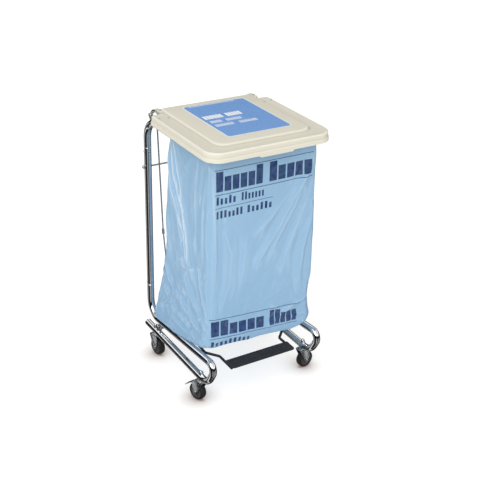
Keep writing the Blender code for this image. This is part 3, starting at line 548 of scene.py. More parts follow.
def build_frame():
    """The tube stand with its screws, plugs and nuts."""
    for side, s in SIDES:
        x = s * SIDE_X
        corners = [(x, LOWER_REAR_Y, LOWER_Z), (x, LOW_BEND[0], LOWER_Z),
                   (x, HIGH_BEND[0], rail_z(HIGH_BEND[0])), (x, POST_Y, rail_z(POST_Y)),
                   (x, POST_Y, LOW_JOINT_Z)]
        bar(f"side_tube_{side}", "chrome",
            lengthen(rounded(corners, (LOW_BEND[1], HIGH_BEND[1], REAR_BEND_R), 16)))
        bar(f"post_{side}", "chrome", straight((x, POST_Y, LOW_JOINT_Z + GAP), (x, POST_Y, HIGH_JOINT_Z)))
        corners = [(x, POST_Y, HIGH_JOINT_Z + GAP), (x, POST_Y, ARM_Z), (x, HOOP_FRONT_Y, ARM_Z),
                   (s * 0.0002, HOOP_FRONT_Y, ARM_Z)]
        bar(f"top_arm_{side}", "chrome", lengthen(rounded(corners, (ARM_BEND_R, HOOP_CORNER_R), 14)))
        strut = [(x, STRUT_Y, LOWER_Z + TUBE_R + GAP), (x, STRUT_Y, rail_z(STRUT_Y) - TUBE_R - 2 * GAP)]
        bar(f"rear_strut_{side}", "chrome", strut, STRUT_R, sides=20, ease=0.0004)
        sunk = TUBE_R - 0.0004
        screw_z = (LOW_JOINT_Z + SCREW_STEP, HIGH_JOINT_Z - SCREW_STEP)
        screws = [dome_head((x + s * sunk, POST_Y, z), (s, 0, 0), 0.0042, 0.0024) for z in screw_z]
        screws += [dome_head((x, POST_Y - sunk, z), (0, -1, 0), 0.0036, 0.0020) for z in screw_z]
        piece(f"post_screws_{side}", *joined(*screws), "zinc", "frame")
        plug = [(0.0, 0.0045), (0.0050, 0.0042), (0.0090, 0.0031), (0.0115, 0.0018), (0.0125, 0.0004),
                (0.0105, 0.0002), (0.0105, -0.012), (0.0, -0.012)]
        piece(f"tube_plug_{side}_cap", *lathe(plug, facing((x, LOWER_REAR_Y, LOWER_Z), (0, 1, 0))), "zinc",
              "frame", (f"tube_plug_{side}",))
        nut = [(0.0, 0.0090), (0.0022, 0.0086), (0.0040, 0.0072), (0.0050, 0.0052), (0.0062, 0.0049),
               (0.0062, GAP), (0.0, GAP)]
        piece(f"tie_nut_{side}_dome", *lathe(nut, facing((x + s * TUBE_R, POST_Y, TIE_Z), (s, 0, 0)), 24),
              "zinc", "frame", (f"tie_nut_{side}",))
    reach = INNER_X - GAP
    for name, y, z, radius, slot in (("hoop_rear_bar", HOOP_REAR_Y, ARM_Z, HOOP_REAR_R, "chrome"),
                                     ("tie_rod", POST_Y, TIE_Z, TIE_R, "zinc")):
        bar(name, "bar", straight((-reach, y, z), (reach, y, z), 0.03), radius, slot, sides=24, ease=0.0003)
    cross_z = LOWER_Z + TUBE_R + GAP + CROSS_R
    cross = straight((-CROSS_X, CROSS_Y, cross_z), (CROSS_X, CROSS_Y, cross_z))
    bar("rear_cross_tube", "chrome", cross, CROSS_R)
    for side, _ in SIDES:
        refined(f"hinge_bracket_{side}", f"hinge_ear_{side}", "zinc", 0.0004, 2)
        refined(f"pivot_lug_{side}", f"pivot_plate_{side}", "zinc", 0.0006, 2)


# ---------------------------------------------------------------- lid

def lid_outline(inset, height, plateau=False):
    """The lid's outline at one height, drawn in by the inset."""
    if plateau:
        half, front, rear = PLATEAU[0] - inset, PLATEAU[1] + inset, LID_REAR_Y - 0.006 - inset
        notch_y, corner = LID_NOTCH[1] - 0.012, 0.040
        side = [(half, notch_y - 0.012, 0.004, 4), (half, notch_y, 0.004, 4), (half, rear, 0.012, 8)]
    else:
        half, front, rear = LID_HALF_X - inset, LID_FRONT_Y + inset, LID_REAR_Y - inset
        notch_x, notch_y, corner = LID_NOTCH[0] - inset, LID_NOTCH[1] - inset, LID_CORNER - inset / 2
        side = [(half, notch_y, 0.010, 4), (notch_x, notch_y, 0.004, 4), (notch_x, rear, 0.016, 8)]
    left = [(-x, y, setback, steps) for x, y, setback, steps in reversed(side)]
    front_corners = [(-half, front, corner, 16), (half, front, corner, 16)]
    return corner_ring(side + left + front_corners, height)


def build_cover():
    """The lid's moulding: one skin through rings from the skirt to the raised middle, given its wall."""
    skirt, flange, top = LID_SKIRT_Z, LID_FLANGE_Z, LID_TOP_Z
    # inset, height, and how strong the painted highlight on the edge is (above 0) and the painted shade in
    # the corner (below 0)
    outer = [(0.0006, skirt, 0.3), (0.0, skirt + 0.0006, 0.5), (0.0, skirt + 0.0060, 0.0),
             (0.0, skirt + 0.0112, 0.2), (0.0005, skirt + 0.0128, 0.5), (0.0020, skirt + 0.0140, -0.7),
             (0.0021, skirt + 0.0156, -0.3), (0.0022, flange - 0.0060, 0.0), (0.0024, flange - 0.0034, 0.3),
             (0.0031, flange - 0.0016, 0.8), (0.0044, flange - 0.0005, 1.0), (0.0062, flange, 0.4),
             (0.0100, flange - 0.0004, -0.1)]
    crown = [(-0.0090, flange - 0.0005, -0.2), (-0.0050, flange - 0.0003, -0.8),
             (-0.0030, flange + 0.0006, -1.0), (-0.0016, flange + 0.0024, -0.4),
             (-0.0006, flange + 0.0042, 0.4), (0.0008, flange + 0.0055, 1.0), (0.0030, top - 0.0002, 0.8),
             (0.0060, top, 0.0)]
    rings = [lid_outline(inset, z) for inset, z, _ in outer]
    rings += [lid_outline(inset, z, True) for inset, z, _ in crown]
    edges = [value for _, _, value in outer + crown]
    count = len(rings[0])
    faces = ring_faces(len(rings), count) + [tuple(range((len(rings) - 1) * count, len(rings) * count))]
    mesh = new_mesh("lid_cover", [p for ring in rings for p in ring], faces)
    if sum(face.normal.z * face.area for face in mesh.polygons) < 0:
        mesh.flip_normals()
    # the painted highlights and painted shade, ring by ring, that the cream look reads
    mark = mesh.attributes.new("edge", "FLOAT", "POINT")
    mark.data.foreach_set("value", np.repeat(np.array(edges, dtype=np.float32), count))
    cover = bpy.data.objects.new("lid_cover_draft", mesh)
    bpy.context.scene.collection.objects.link(cover)
    wall = cover.modifiers.new("wall", "SOLIDIFY")
    wall.thickness = LID_WALL
    wall.offset = -1.0
    bpy.context.view_layer.update()
    solid = bpy.data.meshes.new_from_object(cover.evaluated_get(bpy.context.evaluated_depsgraph_get()))
    bpy.data.objects.remove(cover, do_unlink=True)
    settle("lid_cover", solid, "cream_plastic", "lid", ("lid_shell",), 30.0)


def build_lid():
    """The lid with its lip, rivets, hinge arms, hoods and crank."""
    build_cover()
    # the lip that hangs under the skirt at the front, from its low end in x to its high end
    (low, high), seam, droop = LIP_X, LID_SKIRT_Z + 0.0030, LID_LIP_Z + 0.0012
    outline = [(low, seam), (low + 0.003, droop), (low + 0.006, LID_LIP_Z), (high - 0.006, LID_LIP_Z),
               (high - 0.003, droop), (high, seam)]
    lip = [[(x, y, z) for x, z in outline] for y in (LID_FRONT_Y - 0.0002, LID_FRONT_Y + LID_WALL)]
    piece("lid_lip", *prism(*lip), "cream_plastic", "lid")

    heads = [dome_head((s * x, y, z), (0, 0, 1), 0.0033, 0.0018) for x, y, z in RIVETS for s in (-1, 1)]
    piece("lid_rivets", *joined(*heads), "zinc", "lid")

    knuckle = [(0.0060, -0.0028), (0.0065, -0.0023), (0.0065, 0.0023), (0.0060, 0.0028), (0.0034, 0.0028),
               (0.0034, -0.0028), (0.0060, -0.0028)]
    for side, s in SIDES:
        x = s * HINGE_X
        corners = [(x, 0.1525, 0.9262), (x, 0.1740, 0.9352), (x, 0.2020, 0.9310),
                   (x, HINGE_Y, HINGE_Z + 0.003)]
        arm = tube(rounded(corners, (0.020, 0.016), 10), 0.0033, 20, 0.0005)
        ring = lathe(knuckle, facing((x, HINGE_Y, HINGE_Z), (1, 0, 0)), 28)
        piece(f"gooseneck_{side}", *joined(arm, ring), "chrome", "lid", (f"hinge_arm_{side}",))
        hood(side, s)
    refined("lid_crank", "crank_lever", "zinc", 0.0004, 2)


def hood(side, s):
    """A curled cream hood from the lid's rear corner over the hinge arm, with a rounded back."""
    seat, front, top = LID_FLANGE_Z + 0.0005, LID_NOTCH[1] + 0.0005, LID_TOP_Z - 0.0014
    # y and how far below the top, over the hood to its rear tip and back underneath
    section = [(front, 0.0018), (front + 0.0006, 0.0006), (front + 0.0020, 0.0), (0.1650, 0.0), (0.1780, 0.0),
               (0.1840, 0.0005), (0.1900, 0.0016), (0.1960, 0.0034), (0.2020, 0.0062), (0.2075, 0.0096),
               (0.2125, 0.0136), (0.2170, 0.0180), (0.2208, 0.0226), (0.2238, 0.0268), (0.2246, 0.0290),
               (0.2226, 0.0288), (0.2196, 0.0242), (0.2160, 0.0200), (0.2112, 0.0156), (0.2062, 0.0118),
               (0.2008, 0.0085), (0.1950, 0.0062), (0.1885, 0.0046), (LID_REAR_Y + 0.0004, 0.0042),
               (LID_REAR_Y + 0.0002, top - seat), (front, top - seat)]
    centre = np.array((0.190, top - 0.006))
    # the section's x across the hood, and how far its edge is drawn in there, in y and in z
    cuts = ((0.1755, 0.00084), (0.1760, 0.0003), (0.1768, 0.0), (0.1870, 0.0), (0.1878, 0.0003),
            (0.1882, 0.00084))
    points = []
    for x, drawn_in in cuts:
        for y, drop in section:
            towards = unit(centre - np.array((y, top - drop)))
            points.append((s * x, y + towards[0] * drawn_in * 0.7, top - drop + towards[1] * drawn_in * 0.5))
    n, rings = len(section), len(cuts)
    faces = ring_faces(rings, n) + [tuple(range(n)), tuple(range((rings - 1) * n, rings * n))]
    piece(f"hood_{side}", points, faces, "cream_plastic", "lid", (f"hinge_hood_{side}",), 40.0)


def slab(centre, half, rounding, steps, bottom, thickness):
    """Points and faces of a thin flat plate with round corners."""
    corners = [(centre[0] + a * half[0], centre[1] + b * half[1], rounding, steps)
               for a, b in ((1, 1), (-1, 1), (-1, -1), (1, -1))]
    return prism(corner_ring(corners, bottom), corner_ring(corners, bottom + thickness))


def build_label():
    """A pale-edged blue card with plain bars in place of its wording."""
    z, (half_x, half_y) = LID_TOP_Z + GAP, (size / 2 for size in LABEL_SIZE)
    edge = slab(LABEL_CENTRE, (half_x, half_y), 0.012, 6, z, 0.0003)
    base = piece("label_edge", *edge, "blue_label", "lid", sharp=60.0, look=CARD_PALE)
    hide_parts("lid_label")
    face = slab(LABEL_CENTRE, (half_x - 0.0030, half_y - 0.0030), 0.010, 6, z + 0.0002, 0.0003)
    piece("label_face", *face, "blue_label", "lid", sharp=60.0, look=CARD_BLUE)
    rows = [  # centre x, centre y, block width, block height, gap, blocks
        (-0.061, 0.025, 0.0092, 0.0310, 0.0024, 6), (0.016, 0.025, 0.0092, 0.0310, 0.0024, 5),
        (-0.073, -0.018, 0.0042, 0.0210, 0.0042, 5), (-0.008, -0.018, 0.0042, 0.0210, 0.0042, 7),
        (-0.062, -0.054, 0.0042, 0.0210, 0.0042, 8), (0.026, -0.054, 0.0042, 0.0210, 0.0042, 8),
        (0.000, 0.141, 0.0046, 0.0050, 0.0016, 28),
    ]
    blocks = [slab((x + (k - (count - 1) / 2) * (width + gap), y), (width / 2, height / 2), 0.0012, 3,
                   z + 0.0005, 0.0001)
              for x, y, width, height, gap, count in rows for k in range(count)]
    piece("label_bars", *joined(*blocks), "blue_label", "lid", sharp=60.0, look=CARD_PALE)


# ---------------------------------------------------------------- pedal and linkage

def build_pedal():
    """The pedal's bent arms, bosses, rear bar and ribbed plate, and the linkage rod."""
    for side, s in SIDES:
        arm_x, neck_x = s * PEDAL_ARM_X, s * PEDAL_NECK_X
        corners = [(arm_x, PEDAL_REAR_Y + 0.005, PEDAL_REAR_Z), (arm_x, PEDAL_Y, PEDAL_Z),
                   (arm_x, -0.114, 0.143), (neck_x, -0.150, 0.137), (neck_x, TREAD_Y[0] + 0.012, 0.137)]
        bar(f"pedal_arm_{side}", "rod", lengthen(rounded(corners, (0.060, 0.012, 0.012), 10), 0.03), PEDAL_R,
            "black_paint", "pedal", 24, 0.0006)
        low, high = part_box(f"pedal_boss_{side}")
        width = high.x - low.x
        ring = [(0.0043, 0.0), (0.0084, 0.0), (0.0090, 0.0006), (0.0090, width - 0.0006), (0.0084, width),
                (0.0043, width), (0.0043, 0.0)]
        start = Vector((low.x, (low.y + high.y) / 2, (low.z + high.z) / 2)) - ORIGIN
        piece(f"pedal_boss_{side}_ring", *lathe(ring, facing(start, (1, 0, 0)), 32), "black_paint", "pedal",
              (f"pedal_boss_{side}",))
    reach = PEDAL_ARM_X - PEDAL_R - GAP
    rear = straight((-reach, PEDAL_REAR_Y, PEDAL_REAR_Z), (reach, PEDAL_REAR_Y, PEDAL_REAR_Z), 0.04)
    piece("pedal_rear_rod", *tube(rear, PEDAL_R, 24, 0.0005), "black_paint", "pedal", ("pedal_rear_bar",))
    refined("pedal_tread", "pedal_plate", "black_paint", 0.0014, 4)
    reach = TREAD_HALF_X - 0.009
    ribs = [tube(straight((-reach, y, TREAD_Z[1]), (reach, y, TREAD_Z[1]), 0.05), 0.0012, 10, 0.0004)
            for y in np.linspace(TREAD_Y[0] + 0.007, TREAD_Y[1] - 0.006, TREAD_RIBS)]
    piece("pedal_grip_ribs", *joined(*ribs), "black_paint", "pedal")
    for node in ("link_lower", "link_upper"):
        refined(node, f"{node}_rod", "zinc", 0.0003, 2)
    refined("link_adjuster", "link_turnbuckle", "zinc", 0.0006, 2)


# ---------------------------------------------------------------- casters

def there_and_back(half, *middle):
    """A closed profile from one half of it, as distance from the axis and place along it, and its middle."""
    return [*half, *middle, *((radius, -along) for radius, along in reversed(half)), half[0]]


def build_wheel(corner, centre, across):
    """A tyre with rounded shoulders on a hub with five spokes a side, in place of the plain ones."""
    turn, edge = facing(centre, across), -WHEEL_HALF
    shoulder = [(RIM_R, edge), (0.0262, edge), (0.0288, edge + 0.0006), (0.0303, edge + 0.0018),
                (0.0314, edge + 0.0042), (0.0319, edge + 0.0072)]
    tyre = lathe(there_and_back(shoulder, (WHEEL_R, 0.0)), turn, 56)
    piece(f"tyre_{corner}", *tyre, "black_rubber", f"wheel_{corner}", (f"caster_tyre_{corner}",), 50.0)
    outer, boss = RIM_R - GAP, 0.0085
    face = [(outer, edge + 0.0010), (outer - 0.0034, edge + 0.0010), (outer - 0.0042, edge + 0.0018),
            (outer - 0.0052, edge + 0.0050), (boss + 0.0010, edge + 0.0052), (boss, edge + 0.0040),
            (boss - 0.0006, edge - 0.0004), (boss - 0.0012, edge - 0.0008), (HUB_BORE_R, edge - 0.0008)]
    spokes = []
    for angle in (2 * math.pi * k / SPOKES for k in range(SPOKES)):
        for end in (-1.0, 1.0):
            path = [np.array(turn @ Vector((math.cos(angle) * reach, math.sin(angle) * reach,
                                            end * (WHEEL_HALF - 0.0046))))
                    for reach in (boss - 0.0005, outer - 0.0038)]
            spokes.append(tube(path, 0.0013, 10, 0.0003))
    piece(f"hub_{corner}", *joined(lathe(there_and_back(face), turn, 48), *spokes), "grey_hub",
          f"wheel_{corner}", (f"caster_hub_{corner}",), 30.0)


def build_casters():
    """Forks, wheels, axles and stems of the four casters, and the brake tab of one."""
    nut = [(0.0, 0.0046), (0.0030, 0.0044), (0.0046, 0.0034), (0.0052, 0.0018), (0.0063, 0.0012),
           (0.0063, 0.0), (0.0, 0.0)]
    z = LOWER_Z + TUBE_R
    stem_nut = [(0.0, z + 0.0120), (0.0026, z + 0.0117), (0.0046, z + 0.0104), (0.0058, z + 0.0084),
                (0.0062, z + 0.0066), (0.0084, z + 0.0062), (0.0086, z + 0.0056), (0.0086, z + GAP),
                (0.0, z + GAP)]
    z = LOWER_Z - TUBE_R
    race = [(0.0, z - GAP), (0.0128, z - GAP), (0.0135, z - 0.0008), (0.0135, z - 0.0018),
            (0.0128, z - 0.0022), (0.0, z - 0.0022)]
    axles = {joint["name"]: Vector(joint["axis"]).normalized() for joint in frame["joints"]}
    for corner in CORNERS:
        refined(f"caster_fork_{corner}", f"fork_{corner}", "chrome", 0.0011, 4, look=SATIN)
        centre = middle(f"caster_tyre_{corner}") - ORIGIN
        across = axles[f"spin_{corner}"]
        build_wheel(corner, centre, across)
        nuts = [lathe(nut, facing(centre + way * AXLE_REACH, way), 24) for way in (across, -across)]
        ends = [np.array(centre + across * reach) for reach in (-0.016, 0.016)]
        piece(f"axle_{corner}", *joined(*nuts, tube(ends, 0.004, 20)), "zinc", f"caster_{corner}",
              (f"caster_axle_{corner}",))
        upright = Matrix.Translation((*(STEMS[corner] - ORIGIN).xy, 0.0))
        turned = [lathe(profile, upright, 36) for profile in (stem_nut, race)]
        piece(f"stem_{corner}", *joined(*turned), "chrome", "frame", (f"caster_stem_{corner}",))
    refined("brake_lever_front_left", "brake_tab_front_left", "zinc", 0.0005, 3)


# ---------------------------------------------------------------- bag

def smooth_step(value, low, high):
    """0 below low, 1 above high, and eased between them."""
    t = np.clip((value - low) / (high - low), 0.0, 1.0)
    return t * t * (3 - 2 * t)


FRONT_COLUMNS, SIDE_COLUMNS, CORNER_COLUMNS = 132, 84, 12


def film_ring(left, right, front, rear, radii):
    """One ring of the film from the middle of the rear, round by the left: points and outward normals."""
    r_rear, r_left, r_right = radii
    arcs = []
    for x, y, r, start in ((-left, rear, r_rear, 90), (-left, front, r_left, 180),
                           (right, front, r_right, 270), (right, rear, r_rear, 0)):
        centre = np.array((x + r * (1 if x < 0 else -1), y + r * (1 if y < rear else -1)))
        turn = np.radians(start + 90 * np.arange(CORNER_COLUMNS + 1) / CORNER_COLUMNS)
        out = np.stack([np.cos(turn), np.sin(turn)], axis=1)
        arcs.append((centre + r * out, out))
    walls = ((SIDE_COLUMNS, (-1.0, 0.0)), (FRONT_COLUMNS, (0.0, -1.0)),
             (SIDE_COLUMNS, (1.0, 0.0)), (FRONT_COLUMNS, (0.0, 1.0)))
    points, normals = [], []
    for i, (count, normal) in enumerate(walls):
        spots, out = arcs[i]
        begin, end = spots[-1], arcs[(i + 1) % 4][0][0]
        points += [spots[:-1], begin + (end - begin) * np.arange(count)[:, None] / count]
        normals += [out[:-1], np.tile(normal, (count, 1))]
    half_rear = FRONT_COLUMNS // 2
    return np.roll(np.vstack(points), half_rear, axis=0), np.roll(np.vstack(normals), half_rear, axis=0)


# height, left and right half width, front, rear, and the corners' radii: rear, front left, front right
FILM_RINGS = np.array([
    (0.9060, 0.1945, 0.1945, -0.2075, 0.0925, 0.036, 0.034, 0.030),
    (0.8850, 0.1950, 0.1985, -0.2085, 0.0930, 0.034, 0.030, 0.018),
    (0.8520, 0.1953, 0.1995, -0.2090, 0.0945, 0.030, 0.028, 0.014),
    (0.7600, 0.1985, 0.2010, -0.2096, 0.1015, 0.026, 0.026, 0.014),
    (0.6800, 0.2010, 0.2025, -0.2100, 0.1040, 0.024, 0.024, 0.014),
    (0.5300, 0.2035, 0.2045, -0.2104, 0.1090, 0.024, 0.024, 0.015),
    (0.4100, 0.2035, 0.2058, -0.2110, 0.1250, 0.028, 0.026, 0.016),
    (0.3550, 0.2050, 0.1990, -0.2116, 0.1400, 0.030, 0.028, 0.020),
    (0.3200, 0.2080, 0.1985, -0.2118, 0.1500, 0.032, 0.030, 0.024),
    (0.2600, 0.2140, 0.2060, -0.2118, 0.1660, 0.036, 0.032, 0.030),
    (0.2200, 0.2190, 0.2120, -0.2118, 0.1740, 0.038, 0.034, 0.032),
])
# where the walls turn into the bottom: x and z along the front, y and height over the rails at the sides
HEM_X = np.array([-0.220, -0.177, -0.134, -0.091, -0.049, 0.000, 0.042, 0.088, 0.126, 0.167, 0.190, 0.215])
HEM_Z = np.array([0.229, 0.224, 0.225, 0.223, 0.218, 0.219, 0.216, 0.211, 0.207, 0.215, 0.223, 0.231])
EDGE_Y = np.array([-0.213, -0.150, -0.080, -0.030, 0.020, 0.140, 0.180])
EDGE_OVER = np.array([0.040, 0.032, 0.021, 0.013, 0.0075, 0.0055, 0.0055])
REAR_EDGE_Z = 0.186
FLOOR_Z, FLOOR_SLOPE = 0.1865, -0.040      # the bottom, higher at the front to clear the pedal's arms
FILM_GIRTH = 1.28
RAIL_AIR, HOOP_AIR = 0.0014, 0.0012          # between the film and the tube it rests on or is folded over
CUFF_ROWS = 12

# fold lines on the left face (y, z) and on the front face (x, z), each with its height and width
LEFT_FOLDS = (
    (((0.074, 0.900), (0.067, 0.873), (0.033, 0.766), (-0.008, 0.704), (-0.039, 0.666), (-0.047, 0.611),
      (-0.049, 0.554), (-0.060, 0.499), (-0.077, 0.469)), 0.0100, 0.0130),
    (((0.090, 0.880), (0.082, 0.812), (0.049, 0.710), (-0.007, 0.639), (-0.056, 0.549)), 0.0090, 0.0120),
    (((0.052, 0.880), (0.030, 0.830), (-0.004, 0.766), (-0.020, 0.700), (-0.041, 0.650)), 0.0060, 0.0120),
    (((-0.005, 0.640), (-0.020, 0.600), (-0.046, 0.560)), 0.0060, 0.0100),
    (((-0.043, 0.650), (-0.056, 0.600), (-0.066, 0.540), (-0.070, 0.480)), 0.0060, 0.0120),
    (((-0.120, 0.880), (-0.112, 0.760), (-0.122, 0.640), (-0.104, 0.520)), 0.0050, 0.0300),
    (((-0.175, 0.860), (-0.160, 0.700), (-0.165, 0.560), (-0.150, 0.440)), 0.0045, 0.0280),
    (((0.100, 0.640), (0.082, 0.540), (0.050, 0.440), (0.000, 0.360)), 0.0056, 0.0220),
    (((0.125, 0.430), (0.080, 0.372), (0.020, 0.330), (-0.070, 0.300)), 0.0050, 0.0160),
    (((0.135, 0.330), (0.070, 0.292), (-0.010, 0.262), (-0.100, 0.250)), 0.0044, 0.0150),
    (((-0.195, 0.290), (-0.130, 0.330), (-0.070, 0.390), (-0.030, 0.470)), 0.0056, 0.0180),
    (((-0.200, 0.330), (-0.165, 0.400), (-0.140, 0.500)), 0.0050, 0.0180),
    (((-0.205, 0.262), (-0.140, 0.276), (-0.060, 0.310), (0.020, 0.352)), 0.0046, 0.0140),
    (((0.090, 0.270), (0.030, 0.238), (-0.050, 0.232), (-0.150, 0.240)), 0.0036, 0.0120),
)
FRONT_FOLDS = (
    (((0.196, 0.880), (0.160, 0.790), (0.118, 0.685), (0.046, 0.555), (0.010, 0.470)), 0.0060, 0.0260),
    (((0.186, 0.840), (0.152, 0.776), (0.063, 0.625), (-0.010, 0.514), (-0.040, 0.440)), 0.0052, 0.0220),
    (((0.190, 0.760), (0.140, 0.640), (0.090, 0.520), (0.075, 0.430)), 0.0050, 0.0240),
    (((0.194, 0.660), (0.160, 0.520), (0.150, 0.420), (0.165, 0.330)), 0.0052, 0.0220),
    (((0.110, 0.760), (0.030, 0.660), (-0.040, 0.600)), 0.0034, 0.0220),
    (((-0.190, 0.880), (-0.184, 0.720), (-0.178, 0.560), (-0.186, 0.420)), 0.0044, 0.0200),
    (((-0.150, 0.660), (-0.120, 0.560), (-0.128, 0.450), (-0.160, 0.350)), 0.0040, 0.0220),
    (((-0.060, 0.620), (-0.075, 0.520), (-0.060, 0.430)), 0.0030, 0.0220),
    (((0.205, 0.330), (0.150, 0.312), (0.080, 0.282), (0.020, 0.236)), 0.0046, 0.0120),
    (((0.196, 0.262), (0.140, 0.262), (0.090, 0.240)), 0.0040, 0.0110),
    (((-0.205, 0.240), (-0.140, 0.252), (-0.070, 0.244)), 0.0034, 0.0120),
    (((0.040, 0.330), (0.080, 0.300), (0.126, 0.300)), 0.0040, 0.0110),
)


def distance_to_path(a, b, path):
    """Distance in a plane from points (a, b) to a polyline, their side of it, and how far along, 0 to 1."""
    path = np.array(path, float)
    best, along, side = np.full(a.shape, 9.0), np.zeros(a.shape), np.ones(a.shape)
    lengths = np.linalg.norm(np.diff(path, axis=0), axis=1)
    total, run = lengths.sum(), 0.0
    for p, q, length in zip(path, path[1:], lengths):
        da, db = (q - p) / length
        t = np.clip(((a - p[0]) * da + (b - p[1]) * db) / length, 0.0, 1.0)
        d = np.hypot(a - p[0] - t * length * da, b - p[1] - t * length * db)
        closer = d < best
        best = np.where(closer, d, best)
        side = np.where(closer, np.sign((a - p[0]) * db - (b - p[1]) * da), side)
        along = np.where(closer, (run + t * length) / total, along)
        run += length
    return best, side, along


def tent(distance, side, width, lean):
    """A crease's section: straight flanks to a crisp crest, one flank wider than the other."""
    reach = width * np.where(side > 0, 1.0 + lean, 1.0 - lean)
    t = np.clip(1.0 - distance / reach, 0.0, 1.0)
    return t * (0.55 + 0.45 * t)


def folds(a, b, lines, weight, lean=0.35):
    """Height of crisp folds, fading at their ends."""
    height = np.zeros(a.shape)
    for k, (path, rise, width) in enumerate(lines):
        distance, side, t = distance_to_path(a, b, path)
        fade = np.clip(np.sin(t * math.pi), 0.0, 1.0) ** 0.6
        height += rise * fade * tent(distance, side, width, lean if k % 2 else -lean)
        height -= 0.30 * rise * fade * np.exp(-((distance - 1.5 * width) / (0.6 * width)) ** 2)
    return height * weight


def crest_highlights(a, b, lines, half_width):
    """1 along the crests of folds, where a highlight is painted."""
    shine = np.zeros(a.shape)
    for path, _, _ in lines:
        distance, _, t = distance_to_path(a, b, path)
        fade = np.clip(np.sin(t * math.pi), 0.0, 1.0) ** 0.4
        shine = np.maximum(shine, fade * np.exp(-(distance / half_width) ** 2))
    return shine


def crumple(p, z, seed, count, low, high, sizes, rises, tilt):
    """Many short creases at random in a band of heights, round the whole film."""
    dice = random.Random(seed)
    height = np.zeros(p.shape)
    for _ in range(count):
        centre_p, centre_z = dice.uniform(0, FILM_GIRTH), dice.uniform(low, high)
        length, angle = dice.uniform(*sizes), math.radians(dice.gauss(90.0, tilt))
        rise, width = dice.uniform(*rises), dice.uniform(0.10, 0.22) * length
        lean, bend = dice.uniform(-0.5, 0.5), dice.uniform(-0.15, 0.15)
        sign = 1.0 if dice.random() < 0.6 else -1.0
        dp = (p - centre_p + FILM_GIRTH / 2) % FILM_GIRTH - FILM_GIRTH / 2
        dz = z - centre_z
        u = dp * math.cos(angle) + dz * math.sin(angle)
        v = -dp * math.sin(angle) + dz * math.cos(angle) + bend * u * u / length * 4
        near = (np.abs(u) < length / 2) & (np.abs(v) < 1.6 * width)
        fade = np.where(near, np.cos(np.clip(u / length, -0.5, 0.5) * math.pi) ** 0.8, 0.0)
        height += sign * rise * fade * tent(np.abs(v), np.sign(v), width, lean)
    return height


def waves(p, z, seed, count, shortest, longest, fall):
    """A sum of slow waves round the film that wander as they run down it."""
    dice = random.Random(seed)
    height = np.zeros(p.shape)
    for _ in range(count):
        length = dice.uniform(shortest, longest)
        shift, drift, lean = dice.uniform(0, 6.28), dice.uniform(1.5, 6.0), dice.uniform(-fall, fall)
        height += np.sin(2 * math.pi * (p + lean * z + 0.012 * np.sin(drift * 4 * z + shift)) / length
                         + shift) * dice.uniform(0.5, 1.0)
    return height / count


WALL_ROWS = 190
FILM_TOP_Z, FILM_FOOT_Z = 0.9020, 0.22
CREASE_STEP = 0.0022        # bend between neighbouring points at which the painted highlight on a ridge, and the painted shade in a valley, shows in full
# seed, creases, lowest and highest, shortest and longest, least and most rise, and spread about upright
CRUMPLES = (
    (11, 70, 0.20, 0.90, (0.10, 0.26), (0.0010, 0.0030), 16.0),
    (12, 210, 0.17, 0.50, (0.05, 0.15), (0.0010, 0.0028), 38.0),
    (13, 420, 0.15, 0.38, (0.025, 0.075), (0.0006, 0.0019), 60.0),
    (14, 90, 0.50, 0.90, (0.04, 0.12), (0.0004, 0.0012), 30.0),
)


def ring_at(z):
    """The film's ring at a height, between the rings of the table."""
    table = FILM_RINGS[np.argsort(FILM_RINGS[:, 0])]
    left, right, front, rear, *radii = (float(np.interp(z, table[:, 0], column)) for column in table.T[1:])
    return film_ring(left, right, front, rear, radii)


